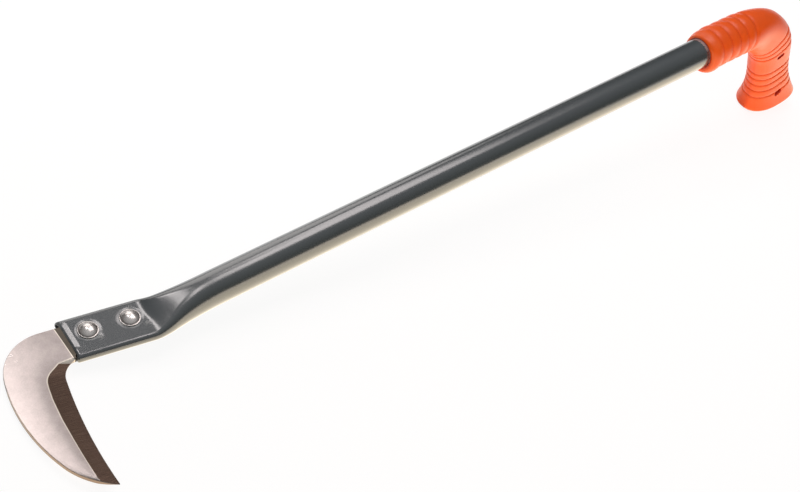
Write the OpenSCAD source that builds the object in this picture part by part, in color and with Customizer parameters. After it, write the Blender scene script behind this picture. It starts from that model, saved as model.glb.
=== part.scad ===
// Brush knife: a steel tube with its end pressed flat round a hooked blade,
// two domed rivets through the flat, and a moulded pistol grip at the other end.
// It stands on the floor as it does by itself: on the foot of its grip and the back of its blade.
// Each piece is drawn along the shaft, with the socket's bend near the origin, and put at rest last.

/* [Shaft tube] */
// Outside diameter of the steel tube
tube_d = 25; // [22:0.5:28]
// Wall of the steel tube
tube_wall = 1.5; // [1.2:0.1:2]
// Bare shaft from the bend of the socket to the face of the grip
bare_len = 539; // [300:1:900]
// Depth of the tube inside the grip
grip_depth = 56; // [40:1:60]

/* [Socket] */
// Flat length of the socket from its bend to its mouth
flat_len = 54; // [50:1:80]
// Angle by which the socket leans back from the line of the shaft
socket_bend = 11; // [4:0.5:18]
// Radius of the bend along the middle of the tube
bend_r = 60; // [40:1:90]
// Length over which the round tube is pressed down to the flat
press_len = 56; // [36:1:80]
// Power of the press curve: a higher one makes a sharper step at the bend
press_power = 2.4; // [1.6:0.1:3]
// Sideways shift of the pressed flat towards the hook
flat_shift = 0.8; // [0:0.1:2]
// Radius of the scallop that forms the mouth of the socket
mouth_r = 36; // [30:1:50]
// How far the scallop reaches back from the mouth
mouth_dip = 1.5; // [0:0.5:4]
// How far the folded back corner stands out past the mouth
mouth_lip = 5; // [2:0.5:7]
// Sideways offset of the scallop towards the hook
mouth_offset = 4; // [0:0.5:8]

/* [Blade] */
// Thickness of the blade
blade_t = 4; // [3:0.1:5]
// Length of the tang inside the socket
tang_len = 50; // [48:1:54]
// Distance from the socket's middle line to the back of the neck
neck_back = 11.8; // [9:0.1:13]
// How far the heel of the edge lies in front of the mouth
heel_gap = 1.5; // [1:0.1:4]
// Radius of the throat between the neck and the cutting edge
throat_r = 15; // [12:0.5:20]
// Distance from the mouth to the middle of the throat, measured outwards
throat_s = -1.3; // [-3:0.1:1]
// Distance from the socket's middle line to the middle of the throat
throat_q = 31; // [28:0.5:36]
// Reach of the blade's back past the mouth
blade_reach = 52.2; // [46:0.5:60]
// Radius of the back where it turns out of the neck
corner_r = 33.5; // [24:0.5:38]
// Radius of the long outer curve of the blade
spine_r = 121; // [110:1:140]
// Distance from the socket's middle line to the furthest point of the outer curve
belly_q = 35.5; // [28:0.5:38]
// Distance from the socket's middle line to the place where the outer curve tightens
sweep_q = 91; // [80:0.5:95]
// Radius of the outer curve from there to the tip
sweep_r = 52.5; // [50:1:70]
// How far the tip lies past the mouth
tip_s = 11; // [6:0.5:14]
// Angle at which the throat runs out into the cutting edge
edge_lean = 3.5; // [0:0.5:8]
// Hollow of the cutting edge between the throat and the tip
edge_hollow = 2.7; // [0.5:0.1:4]
// Width of the ground bevel
bevel_w = 11.3; // [8:0.1:13]
// Length over which the bevel grows to its full width at the heel
plunge_len = 17; // [10:0.5:24]
// Share of the bevel's width that it has at the heel
heel_share = 0.2; // [0.1:0.05:0.5]
// Thickness left at the cutting edge
edge_t = 0.4; // [0.2:0.05:0.8]

/* [Rivets] */
// Diameter of the rivet shank
rivet_d = 6; // [5:0.1:8]
// Diameter of the domed rivet heads
rivet_head_d = 12.4; // [10:0.1:14]
// Height of the domed rivet heads
rivet_head_h = 3; // [2:0.1:4]
// Diameter of the thin flange under each head
rivet_flange_d = 14.4; // [14:0.1:16]
// Thickness of the flange
rivet_flange_h = 0.5; // [0.3:0.1:1]
// Distance from the mouth to the first rivet
rivet_inset = 13; // [11:0.5:16]
// Distance between the two rivets
rivet_pitch = 29.5; // [22:0.5:32]
// Sideways offset of the rivets towards the back of the blade
rivet_offset = 2; // [0:0.1:3]

/* [Grip sleeve] */
// Radius of the grip over its first band
collar_r = 18.6; // [17:0.1:19.5]
// Radius of the grip's sleeve over its other bands
sleeve_r = 17.8; // [16.5:0.1:18.5]
// Length of the straight sleeve before the elbow begins
sleeve_len = 44; // [40:1:56]
// Number of raised bands round the sleeve
sleeve_bands = 5; // [3:1:5]
// Breadth of the band next to the collar
first_band = 12.2; // [9:0.1:13]
// Share of the band before that each next band keeps
band_shrink = 0.93; // [0.85:0.01:0.97]
// Depth of the grooves round the sleeve, the elbow and the leg
groove_depth = 1; // [0.4:0.1:1.4]
// Half breadth of the grooves
groove_half = 1.8; // [1:0.1:2.4]
// Width of the rounding at the sleeve's open end, across the wall
collar_round = 4.9; // [2:0.1:5]
// Length of that rounding along the sleeve
collar_len = 7; // [3:0.5:9]

/* [Grip leg] */
// Angle by which the leg leans away from square to the shaft
leg_rake = 21; // [15:1:30]
// Radius of the elbow along its middle line
elbow_r = 72.5; // [60:0.5:80]
// Straight length of the leg from the elbow to its base
leg_len = 70; // [62:1:85]
// Turn of the section planes from the collar to the leg
ring_turn = 75; // [70:1:82]
// Turn of the section planes at the base of the foot
foot_turn = 84; // [76:1:88]
// Half breadth of the elbow, along the shaft
elbow_a = 20.5; // [17:0.1:22]
// Half thickness of the elbow, across the shaft
elbow_b = 14.4; // [13.8:0.1:17]
// Half breadth of the leg at its neck
neck_a = 20.7; // [15:0.1:22]
// Half thickness of the leg at its neck
neck_b = 13.5; // [11.5:0.1:17]
// Place of the neck as a share of the leg
neck_place = 0.3; // [0.1:0.05:0.5]
// Half breadth of the flared foot
foot_a = 29.9; // [24:0.1:33]
// Half thickness of the flared foot
foot_b = 18.6; // [16:0.1:22]
// Power of the leg's flare, higher for a flare nearer the base
flare_power = 2.2; // [1:0.1:3]
// Rounding of the foot's lower rim
foot_round = 4; // [3:0.5:8]
// Squareness of the leg's front half, 2 for an ellipse
front_square = 2.3; // [2:0.1:4]
// Squareness of the leg's rear half, 2 for an ellipse
rear_square = 2.9; // [2:0.1:4]
// Number of grooves fanned round the elbow
fan_count = 3; // [1:1:3]
// Distance from the start of the elbow to the first fanned groove
fan_first = 60; // [54:0.5:62]
// Distance between the fanned grooves
fan_pitch = 8.5; // [5:0.1:9]
// Number of grooves round the leg
leg_count = 5; // [2:1:5]
// Distance from the end of the elbow to the first groove round the leg
leg_first = 15.3; // [6:0.1:16]
// Distance between the grooves round the leg
leg_pitch = 8.5; // [5:0.1:8.8]

/* [Cord slots] */
// Length of each slot through the leg
slot_len = 8.2; // [6:0.1:12]
// Width of each slot through the leg
slot_w = 3.6; // [2.5:0.1:5]
// Distance from the base of the foot to the lower slot
slot_low = 18.8; // [14:0.1:20]
// Distance between the two slots along the leg
slot_pitch = 55.3; // [54:0.1:60]
// Distance of the slots behind the leg's middle line
slot_shift = 1.2; // [0:0.1:2]

/* [Hidden] */
$fn = 64;

// Clearances: tang in its socket and beside its fold, rivet shank in its hole, tube in the grip
tang_gap = 0.05;
tang_side_gap = 0.3;
shank_gap = 0.05;
grip_gap = 0.1;
// Overlap and inset that let the pressed stretch merge with the straight ones
merge = 0.5;
inset = 0.05;

// Socket: outside thickness of the flat, and where its bend meets the shaft line
socket_t = blade_t + 2 * (tube_wall + tang_gap);
bend_tangent = bend_r * tan(socket_bend / 2);
bend_arc = bend_r * socket_bend * PI / 180;
mouth_s = bend_tangent + flat_len;
round_start = bend_tangent + press_len - bend_arc;
// Fineness of the lofted stretches, the arcs and the grip
loft_sides = 56;
loft_steps = 16;
arc_steps = 14;
grip_sides = 44;
ring_spacing = 5;

// A tube pressed to the thickness t keeps its perimeter, so it widens to this width
function pressed_width(t) = t + PI * (tube_d - t) / 2;
function press_thickness(p) =
    let (u = min(1, max(0, p / press_len)))
    socket_t + (tube_d - socket_t) * (1 - pow(1 - u, press_power));
socket_w = pressed_width(socket_t);
socket_flat = (socket_w - socket_t) / 2;

// Point at the fraction u of the outline of a slot shape with width w and thickness t
function slot_point(u, w, t) =
    let (
        flat = (w - t) / 2,
        quarter = flat + PI * t / 4,
        k = floor(u * 4),
        along = (u * 4 - k) * quarter,
        run = k % 2 == 0 ? along : quarter - along,
        turn = max(0, run - flat) / (t / 2) * 180 / PI,
        y = min(run, flat) + t / 2 * sin(turn),
        z = t / 2 * cos(turn)
    )
    [k < 2 ? y : -y, k == 0 || k == 3 ? z : -z];

// Place on the tube's middle line at the length p from the flat, and its heading
function press_heading(p) = socket_bend * (1 - min(1, max(0, p) / bend_arc));
function press_place(p) =
    let (turn = press_heading(p), straight = max(0, p - bend_arc), back = max(0, -p))
    [bend_tangent - bend_r * sin(turn) + straight - back * cos(turn),
     bend_r * (1 - cos(turn)) + back * sin(turn), 0];

// Ring of the pressed tube at the length p, drawn in by the given wall
function press_ring(p, wall) =
    let (
        t = press_thickness(p),
        w = pressed_width(t),
        turn = press_heading(p),
        side = [sin(turn), cos(turn), 0],
        shift = flat_shift * (1 - min(1, max(0, p) / press_len)),
        place = press_place(p) - shift * side
    )
    [for (i = [0 : loft_sides - 1])
        let (q = slot_point((i + 0.5) / loft_sides, w - 2 * wall, t - 2 * wall))
        place + q[0] * side + [0, 0, q[1]]];

// Skin a list of rings that all have the same number of points
module skin(rings) {
    n = len(rings[0]);
    m = len(rings);
    sides = [for (j = [0 : m - 2], i = [0 : n - 1], half = [0, 1])
        let (a = j * n + i, b = j * n + (i + 1) % n, c = a + n, d = b + n)
        half == 0 ? [a, b, d] : [a, d, c]];
    ends = [[for (i = [n - 1 : -1 : 0]) i], [for (i = [0 : n - 1]) (m - 1) * n + i]];
    polyhedron(points = [for (ring = rings) each ring], faces = concat(sides, ends), convexity = 8);
}

// Frame of the socket: X runs out through the mouth, Y towards the hook
module in_socket() {
    rotate([0, 0, 180 - socket_bend]) children();
}

module in_mouth() {
    in_socket() translate([mouth_s, 0, 0]) children();
}

// Slot-shaped bar along X with width w and thickness t
module slot_bar(from, to, w, t) {
    flat = (w - t) / 2;
    translate([from, -flat, -t / 2]) cube([to - from, 2 * flat, t]);
    for (side = [-1, 1])
        translate([from, side * flat, 0]) rotate([0, 90, 0]) cylinder(d = t, h = to - from);
}

// Pressed tube without its holes, drawn in by the given wall and run on by the given length
module tube_body(wall, extra) {
    round_from = round_start + merge / 2;
    round_to = bare_len + grip_depth + extra;
    translate([round_from, 0, 0]) rotate([0, 90, 0])
        cylinder(d = tube_d - 2 * wall, h = round_to - round_from);
    places = [-merge, each [for (j = [0 : loft_steps]) press_len * j / loft_steps], press_len + merge];
    skin([for (p = places) press_ring(p, wall + inset)]);
    in_socket() translate([0, flat_shift, 0])
        slot_bar(bend_tangent + merge / 2, mouth_s + mouth_lip + extra,
            socket_w - 2 * wall, socket_t - 2 * wall);
}

// Axis of the rivet k, counted from the mouth
module at_rivet(k) {
    in_mouth() translate([-rivet_inset - k * rivet_pitch, -rivet_offset, 0]) children();
}

module rivet_holes() {
    for (k = [0, 1])
        at_rivet(k) cylinder(d = rivet_d + 2 * shank_gap, h = 2 * socket_t, center = true);
}

module shaft_tube() {
    color([0.25, 0.28, 0.3]) difference() {
        tube_body(0, 0);
        tube_body(tube_wall, 1);
        rivet_holes();
        in_mouth() translate([mouth_r - mouth_dip, mouth_offset, 0])
            cylinder(r = mouth_r, h = 2 * socket_t, center = true, $fn = 96);
    }
}

// Circle arc in the plane from one angle to another
function arc(c, r, from, to) =
    [for (i = [0 : arc_steps])
        let (a = from + (to - from) * i / arc_steps)
        c + r * [cos(a), sin(a)]];
// A run of points without its first, which ends the run before it
function after_first(points) = [for (i = [1 : len(points) - 1]) points[i]];
// Shallow arc from a to b that rises by the given height on its right-hand side
function bow(a, b, rise) =
    let (
        chord = norm(b - a),
        r = (chord * chord / 4 + rise * rise) / (2 * rise),
        across = [b[1] - a[1], a[0] - b[0]] / chord,
        c = (a + b) / 2 + across * (rise - r),
        from = atan2(a[1] - c[1], a[0] - c[0]),
        half = asin(chord / 2 / r)
    )
    arc(c, r, from, from + 2 * half);

// Blade outline in the frame of the mouth: back corner, outer curve, edge and throat
throat_c = [throat_s, throat_q];
heel_turn = -acos((heel_gap - throat_s) / throat_r);
tang_front = socket_flat - tang_side_gap;
spine_c = [blade_reach - spine_r, belly_q];
corner_q = corner_r - neck_back;
corner_c = [spine_c[0] + sqrt(pow(spine_r - corner_r, 2) - pow(belly_q - corner_q, 2)), corner_q];
corner_turn = atan2(corner_q - belly_q, corner_c[0] - spine_c[0]);
sweep_turn = asin((sweep_q - belly_q) / spine_r);
sweep_c = spine_c + (spine_r - sweep_r) * [cos(sweep_turn), sin(sweep_turn)];
tip_turn = acos((tip_s - sweep_c[0]) / sweep_r);
tip = sweep_c + sweep_r * [cos(tip_turn), sin(tip_turn)];
throat_arc = arc(throat_c, throat_r, heel_turn, -edge_lean);
edge_path = concat(throat_arc, after_first(bow(throat_arc[arc_steps], tip, edge_hollow)));
outline = concat(
    [[-tang_len, tang_front], [-tang_len, -neck_back]],
    arc(corner_c, corner_r, -90, corner_turn),
    after_first(arc(spine_c, spine_r, corner_turn, sweep_turn)),
    after_first(arc(sweep_c, sweep_r, sweep_turn, tip_turn)),
    after_first([for (i = [len(edge_path) - 1 : -1 : 0]) edge_path[i]]),
    [[heel_gap, tang_front]]
);

// Length of the edge path up to each of its points
edge_run = [for (i = 0, run = 0; i < len(edge_path); i = i + 1,
    run = run + (i < len(edge_path) ? norm(edge_path[i] - edge_path[i - 1]) : 0)) run];
// Width of the bevel after the given length of edge, from its share at the heel
function bevel_width(run) = bevel_w * (heel_share + (1 - heel_share) * sin(90 * min(1, run / plunge_len)));
function edge_inward(i) =
    let (a = edge_path[max(0, i - 1)], b = edge_path[min(len(edge_path) - 1, i + 1)], d = b - a)
    [d[1], -d[0]] / norm(d);

// Wedge that grinds one side of the edge, run on past the heel and the tip
module grinding_wedge() {
    over = 1;
    run_on = 3;
    last = len(edge_path) - 1;
    skin([for (k = [-1 : last + 1])
        let (
            i = min(last, max(0, k)),
            inward = edge_inward(i),
            ahead = (k - i) * run_on * [-inward[1], inward[0]],
            w = bevel_width(edge_run[i]),
            slope = (blade_t - edge_t) / 2 / w,
            low = edge_t / 2 - slope * over,
            high = blade_t / 2 + slope * over,
            outer = edge_path[i] - over * inward + ahead,
            inner = edge_path[i] + (w + over) * inward + ahead
        )
        [[outer[0], outer[1], low], [inner[0], inner[1], high], [outer[0], outer[1], high + over]]]);
}

module blade() {
    color([0.78, 0.75, 0.73]) difference() {
        in_mouth() translate([0, 0, -blade_t / 2]) linear_extrude(blade_t) polygon(outline);
        in_mouth() for (face = [0, 1]) mirror([0, 0, face]) grinding_wedge();
        rivet_holes();
    }
}

// Rivet: a shank through the flat with a domed head on each face
module rivet(k) {
    dome_r = (rivet_head_d * rivet_head_d / 4 + rivet_head_h * rivet_head_h) / (2 * rivet_head_h);
    color([0.85, 0.84, 0.82]) at_rivet(k) {
        cylinder(d = rivet_d, h = socket_t + rivet_head_h, center = true);
        for (face = [0, 1])
            mirror([0, 0, face]) translate([0, 0, socket_t / 2]) {
                cylinder(d = rivet_flange_d, h = rivet_flange_h);
                intersection() {
                    cylinder(d = rivet_head_d, h = rivet_head_h);
                    translate([0, 0, rivet_head_h - dome_r]) sphere(r = dome_r);
                }
            }
    }
}

module front_rivet() {
    rivet(0);
}

module rear_rivet() {
    rivet(1);
}

// Grip: middle line, ring planes and sections, by the length p from the collar
elbow_turn = 90 - leg_rake;
elbow_end = sleeve_len + elbow_r * elbow_turn * PI / 180;
grip_end = elbow_end + leg_len;
function elbow_angle(p) = min(elbow_turn, max(0, p - sleeve_len) / elbow_r * 180 / PI);
function ring_tilt(p) = elbow_angle(p) * ring_turn / elbow_turn + (foot_turn - ring_turn) * flare(p);
function grip_place(p) =
    let (a = elbow_angle(p), before = min(p, sleeve_len), after = max(0, p - elbow_end))
    [bare_len + before + elbow_r * sin(a) + after * cos(a),
     0, -elbow_r * (1 - cos(a)) - after * sin(a)];

// Smooth value at x between the stations, each given as a place and a value
function smooth(x, stations) =
    let (
        last = len(stations) - 1,
        k = max([0, each [for (i = [0 : last - 1]) if (x >= stations[i][0]) i]]),
        span = stations[k + 1][0] - stations[k][0],
        t = min(1, max(0, (x - stations[k][0]) / span))
    )
    stations[k][1] + (stations[k + 1][1] - stations[k][1]) * (3 - 2 * t) * t * t;
elbow_mid = (sleeve_len + elbow_end) / 2;
neck_at = elbow_end + neck_place * leg_len;
foot_at = grip_end - foot_round;
sleeve_radii = [[0, collar_r], [2 * first_band, sleeve_r], [sleeve_len, sleeve_r]];
half_breadths = concat(sleeve_radii, [[elbow_mid, elbow_a], [neck_at, neck_a]]);
half_thicknesses = concat(sleeve_radii, [[elbow_mid, elbow_b], [neck_at, neck_b]]);
function flare(p) = pow(min(1, max(0, (p - neck_at) / (foot_at - neck_at))), flare_power);
function half_breadth(p) = smooth(p, half_breadths) + (foot_a - neck_a) * flare(p);
function half_thickness(p) = smooth(p, half_thicknesses) + (foot_b - neck_b) * flare(p);
function squareness(p, leg) = smooth(p, [[0, 2], [sleeve_len, 2], [elbow_end, leg], [grip_end, leg]]);

// Grooves: round the sleeve in bands that narrow, fanned round the elbow, down the leg
sleeve_cuts = [for (k = [1 : sleeve_bands]) first_band * (1 - pow(band_shrink, k)) / (1 - band_shrink)];
fan_cuts = [for (k = [0 : fan_count - 1]) sleeve_len + fan_first + k * fan_pitch];
leg_cuts = [for (k = [0 : leg_count - 1]) elbow_end + leg_first + k * leg_pitch];
cuts = concat(sleeve_cuts, fan_cuts, leg_cuts);
function groove(p) = groove_depth * max([for (c = cuts) max(0, 1 - abs(p - c) / groove_half)]);

// Places of the rings: the rounded collar, each groove with its sides, and the rounded foot
round_steps = 5;
collar_steps = [for (i = [0 : round_steps - 1]) collar_len * (1 - cos(i * 90 / round_steps))];
foot_steps = [for (i = [0 : round_steps]) grip_end - foot_round * (1 - sin(i * 90 / round_steps))];
function fill(from, to) = let (n = ceil((to - from) / ring_spacing))
    [for (i = [1 : n - 1]) from + (to - from) * i / n];
stops = concat([collar_len - groove_half], cuts, [foot_at + groove_half]);
ring_places = concat(
    collar_steps,
    [for (i = [0 : len(cuts)])
        let (from = stops[i] + groove_half, to = stops[i + 1] - groove_half)
        each concat([from], fill(from, to), i < len(cuts) ? [to, stops[i + 1]] : [])],
    foot_steps
);
function end_inset(p) =
    p < collar_len ? collar_round * (1 - sqrt(max(0, 1 - pow(1 - p / collar_len, 2)))) :
    p > foot_at ? foot_round - sqrt(max(0, foot_round * foot_round - pow(p - foot_at, 2))) : 0;
function grip_ring(p) =
    let (
        tilt = ring_tilt(p),
        across = [sin(tilt), 0, cos(tilt)],
        less = groove(p) + end_inset(p),
        a = half_breadth(p) - less,
        b = half_thickness(p) - less,
        front = 2 / squareness(p, front_square),
        rear = 2 / squareness(p, rear_square)
    )
    [for (i = [0 : grip_sides - 1])
        let (t = 360 * (i + 0.5) / grip_sides, power = cos(t) > 0 ? rear : front)
        grip_place(p) + a * sign(cos(t)) * pow(abs(cos(t)), power) * across
            + [0, b * sign(sin(t)) * pow(abs(sin(t)), power), 0]];

// Slot across the leg for a wrist cord, its length square to the leg
module cord_slot(p) {
    reach = 2 * foot_b + 2 * merge;
    translate(grip_place(p)) rotate([0, -leg_rake, 0]) translate([slot_shift, 0, 0]) {
        flat = (slot_len - slot_w) / 2;
        translate([-flat, -reach / 2, -slot_w / 2]) cube([2 * flat, reach, slot_w]);
        for (side = [-1, 1])
            translate([side * flat, 0, 0]) rotate([90, 0, 0]) cylinder(d = slot_w, h = reach, center = true);
    }
}

module grip() {
    color([0.95, 0.33, 0.05]) difference() {
        skin([for (p = ring_places) grip_ring(p)]);
        translate([bare_len - merge, 0, 0]) rotate([0, 90, 0])
            cylinder(d = tube_d + 2 * grip_gap, h = grip_depth + 2 * merge);
        for (k = [0, 1]) cord_slot(grip_end - slot_low - k * slot_pitch);
    }
}

// Rest: the tool rolls towards the back of its blade until it balances, and its shaft leans
// until the floor touches both the back of the blade and the rim of the grip's foot
rest_roll = 2.2;
function rolled(p) = [p[0], p[1] * cos(rest_roll) + p[2] * sin(rest_roll),
    p[2] * cos(rest_roll) - p[1] * sin(rest_roll)];
function from_mouth(p, z) =
    [-(mouth_s + p[0]) * cos(socket_bend) - p[1] * sin(socket_bend),
     (mouth_s + p[0]) * sin(socket_bend) - p[1] * cos(socket_bend), z];
blade_low = [for (p = outline) rolled(from_mouth(p, -blade_t / 2))];
blade_high = [for (p = outline) rolled(from_mouth(p, blade_t / 2))];
grip_corners = [for (p = ring_places, corner = grip_ring(p)) rolled(corner)];
function lowest(points, lean) = min([for (p = points) p[0] * sin(lean) + p[2] * cos(lean)]);
function settle(lean, turns) = turns == 0 ? lean :
    settle(lean + atan((lowest(blade_low, lean) - lowest(grip_corners, lean))
        / grip_place(grip_end)[0]), turns - 1);
rest_lean = settle(0, 8);

// Extents along and across the tool at rest, to put the origin in the middle of its box
function along(p) = p[0] * cos(rest_lean) - p[2] * sin(rest_lean);
front_x = min([for (p = blade_high) along(p)]);
rear_x = max([for (p = grip_corners) along(p)]);
lip_q = flat_shift - socket_w / 2;
lip_s = min(mouth_lip, mouth_r - mouth_dip - sqrt(mouth_r * mouth_r - pow(lip_q - mouth_offset, 2)));
back_y = rolled(from_mouth([lip_s, lip_q], 0))[1];
hook_y = min([for (p = blade_low) p[1]]);

module at_rest() {
    translate([-(front_x + rear_x) / 2, -(back_y + hook_y) / 2, -lowest(blade_low, rest_lean)])
        rotate([0, -rest_lean, 0]) rotate([-rest_roll, 0, 0]) children();
}

at_rest() shaft_tube();
at_rest() blade();
at_rest() front_rivet();
at_rest() rear_rivet();
at_rest() grip();
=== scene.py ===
"""Brush knife: the dressed model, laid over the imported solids.

Shapes are worked out in millimetres in the tool's own frame: X runs from the bend of the socket
towards the grip, the blade hooks towards -Y, its shown face looks along +Z, and the grip's leg
hangs along -Z. The class Rest lays every point down as the tool rests, in metres.
"""
import logging
import math
from dataclasses import dataclass, field
from enum import Enum, IntEnum

import bmesh
import bpy
import numpy as np
from mathutils import Matrix


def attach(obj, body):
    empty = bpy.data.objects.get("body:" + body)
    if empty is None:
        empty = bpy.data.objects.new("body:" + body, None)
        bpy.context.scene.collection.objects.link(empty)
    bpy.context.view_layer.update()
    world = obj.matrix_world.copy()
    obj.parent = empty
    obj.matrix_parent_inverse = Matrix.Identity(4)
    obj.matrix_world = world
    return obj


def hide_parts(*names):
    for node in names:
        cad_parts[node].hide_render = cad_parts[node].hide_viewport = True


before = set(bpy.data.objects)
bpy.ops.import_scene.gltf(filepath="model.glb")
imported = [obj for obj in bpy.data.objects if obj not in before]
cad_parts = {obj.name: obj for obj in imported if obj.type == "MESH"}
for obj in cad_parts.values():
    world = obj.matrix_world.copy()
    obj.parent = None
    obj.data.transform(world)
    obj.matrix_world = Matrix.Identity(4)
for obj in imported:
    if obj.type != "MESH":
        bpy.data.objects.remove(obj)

log = logging.getLogger("brush_knife")

Colour = tuple[float, float, float, float]


# Lay of the tool and the meshes


@dataclass(frozen=True)
class Rest:
    """How the tool lies: rolled about its shaft, leant on the grip's foot, then shifted (mm)."""

    roll: float = 2.2
    lean: float = 8.39577
    shift: tuple[float, float, float] = (-297.047, 35.7087, 18.5389)

    def turn(self) -> np.ndarray:
        """Returns the rotation: the roll about X first, then the lean about Y."""
        c, s = math.cos(math.radians(self.roll)), math.sin(math.radians(self.roll))
        about_x = np.array([[1, 0, 0], [0, c, s], [0, -s, c]])
        c, s = math.cos(math.radians(self.lean)), math.sin(math.radians(self.lean))
        about_y = np.array([[c, 0, -s], [0, 1, 0], [s, 0, c]])
        return about_y @ about_x

    def place(self, points: np.ndarray) -> np.ndarray:
        """Lays points down: rotation times point plus shift, in metres.

        Args:
            points: an array of tool points in millimetres, with X, Y, Z last.

        Returns:
            The same points in the frame of the row, in metres.
        """
        return (points @ self.turn().T + np.array(self.shift)) / 1000

    def aim(self, direction: tuple[float, float, float]) -> np.ndarray:
        """Returns a direction of the tool's frame as it points at rest."""
        return self.turn() @ np.array(direction, float)


REST = Rest()


def smooth(x: np.ndarray) -> np.ndarray:
    """Returns the smooth step of x: 3x squared less 2x cubed, held to 0 and 1 outside."""
    x = np.clip(x, 0, 1)
    return x * x * (3 - 2 * x)


def bump(x: np.ndarray, middle: float, half: float) -> np.ndarray:
    """Returns 1 at the middle falling to 0 at half a width away on either side."""
    return smooth(1 - np.abs(x - middle) / half)


def grid_quads(rows: int, cols: int, close_rows: bool = False) -> np.ndarray:
    """Corner numbers of the quads of a grid that is stored row by row, its rows closed to rings.

    Args:
        rows: how many rows of points the grid has.
        cols: how many points a row has.
        close_rows: whether the last row joins the first.

    Returns:
        One line of four corner numbers for each quad.
    """
    r = np.arange(rows if close_rows else rows - 1)[:, None]
    c = np.arange(cols)[None]
    here, there = r * cols, (r + 1) % rows * cols
    nxt = (c + 1) % cols
    return np.stack([here + c, here + nxt, there + nxt, there + c], -1).reshape(-1, 4)


def fan(ring: np.ndarray, pole: int) -> np.ndarray:
    """Returns the triangles that close a ring of points onto one pole point."""
    return np.stack([np.roll(ring, -1), ring, np.full(len(ring), pole)], -1)


def capped(rings: np.ndarray, poles: np.ndarray) -> tuple[np.ndarray, np.ndarray, np.ndarray]:
    """Closes a row of rings with a pole at each end.

    Args:
        rings: the rings in order, with X, Y, Z last.
        poles: the first and the last pole.

    Returns:
        All points, the quads between the rings and the triangles onto the poles.
    """
    count, around = rings.shape[:2]
    ring, pole = np.arange(around), count * around
    tris = np.concatenate([fan(ring, pole), fan(ring + (count - 1) * around, pole + 1)[:, ::-1]])
    return np.concatenate([rings.reshape(-1, 3), poles]), grid_quads(count, around), tris


def poled(values: np.ndarray, first: float = 0.0, last: float = 0.0) -> np.ndarray:
    """Returns one value for each point of capped rings, those of the two poles last."""
    return np.concatenate([np.asarray(values, float).ravel(), [first, last]])


def turns(count: int, start: float = 0.5) -> np.ndarray:
    """Returns angles spread evenly round a circle, the first a share of a step past nought."""
    return (np.arange(count) + start) * 2 * math.pi / count


def pose(right: np.ndarray, up: np.ndarray, place: np.ndarray) -> Matrix:
    """Returns the matrix of an object at a place that looks away from right cross up."""
    turn = np.eye(4)
    turn[:3] = np.stack([right, up, np.cross(right, up), place], -1)
    return Matrix(turn.tolist())


def show(name: str, data: bpy.types.ID) -> bpy.types.Object:
    """Returns a new object that holds the data, linked to the scene."""
    shown = bpy.data.objects.new(name, data)
    bpy.context.scene.collection.objects.link(shown)
    return shown


@dataclass
class Shell:
    """A closed surface: its points in the tool's frame, its faces, and what its finish reads."""

    points: np.ndarray
    quads: np.ndarray
    tris: np.ndarray = field(default_factory=lambda: np.zeros((0, 3), int))
    uv: np.ndarray | None = None
    masks: dict[str, np.ndarray] = field(default_factory=dict)
    slots: np.ndarray | None = None
    crisp: np.ndarray | None = None
    crease: float = 32.0
    weld: float = 1e-7

    def outward(self) -> None:
        """Turns all faces over when the shell's volume comes out negative.

        The volume is a sixth of the sum over the faces of corner one dot corner two cross
        corner three.
        """
        p = self.points
        volume = sum(
            np.einsum("ij,ij->i", p[f[:, 0]], np.cross(p[f[:, 1]], p[f[:, 2]])).sum()
            for f in (self.quads[:, [0, 1, 2]], self.quads[:, [0, 2, 3]], self.tris)
        )
        if volume < 0:
            self.quads, self.tris = self.quads[:, ::-1], self.tris[:, ::-1]

    def build(self, name: str, materials: list[bpy.types.Material]) -> bpy.types.Object:
        """Makes the object, with its place in its mesh.

        Args:
            name: the piece's name.
            materials: its finishes, in the order that slots counts them.

        Returns:
            The new object, linked to the scene.
        """
        self.outward()
        place = REST.place(self.points)
        loops = np.concatenate([self.quads.ravel(), self.tris.ravel()]).astype(np.int32)
        sizes = np.concatenate([np.full(len(self.quads), 4), np.full(len(self.tris), 3)])
        starts = np.concatenate([[0], np.cumsum(sizes)[:-1]]).astype(np.int32)
        mesh = bpy.data.meshes.new(name)
        mesh.vertices.add(len(place))
        mesh.vertices.foreach_set("co", place.astype(np.float32).ravel())
        mesh.loops.add(len(loops))
        mesh.loops.foreach_set("vertex_index", loops)
        mesh.polygons.add(len(sizes))
        mesh.polygons.foreach_set("loop_start", starts)
        mesh.update(calc_edges=True)
        mesh.polygons.foreach_set("use_smooth", np.ones(len(sizes), bool))
        for material in materials:
            mesh.materials.append(material)
        if self.slots is not None:
            mesh.polygons.foreach_set("material_index", self.slots.astype(np.int32))
        for key, values in self.masks.items():
            mask = mesh.attributes.new(key, "FLOAT", "POINT")
            mask.data.foreach_set("value", values.astype(np.float32).ravel())
        if self.uv is not None:
            layer = mesh.uv_layers.new(name="surface")
            layer.data.foreach_set("uv", self.uv.astype(np.float32)[loops].ravel())
        mesh.set_sharp_from_angle(angle=math.radians(self.crease))
        if self.crisp is not None:
            ends = np.zeros(len(mesh.edges) * 2, np.int32)
            mesh.edges.foreach_get("vertices", ends)
            sharp = np.zeros(len(mesh.edges), bool)
            mesh.edges.foreach_get("use_edge_sharp", sharp)
            line = self.crisp[ends.reshape(-1, 2)]
            sharp |= (line[:, 0] > 0) & (line[:, 0] == line[:, 1])
            mesh.edges.foreach_set("use_edge_sharp", sharp)
        # Points that coincide are welded, so that no face is left without an area
        work = bmesh.new()
        work.from_mesh(mesh)
        bmesh.ops.remove_doubles(work, verts=work.verts, dist=self.weld)
        work.to_mesh(mesh)
        work.free()
        return show(name, mesh)


class Body(Enum):
    """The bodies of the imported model."""

    ROOT = "root"


class Slot(Enum):
    """The record's material slots."""

    TUBE = "painted_tube"
    BLADE = "blade_steel"
    RIVET = "rivet_steel"
    GRIP = "grip_plastic"


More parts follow.
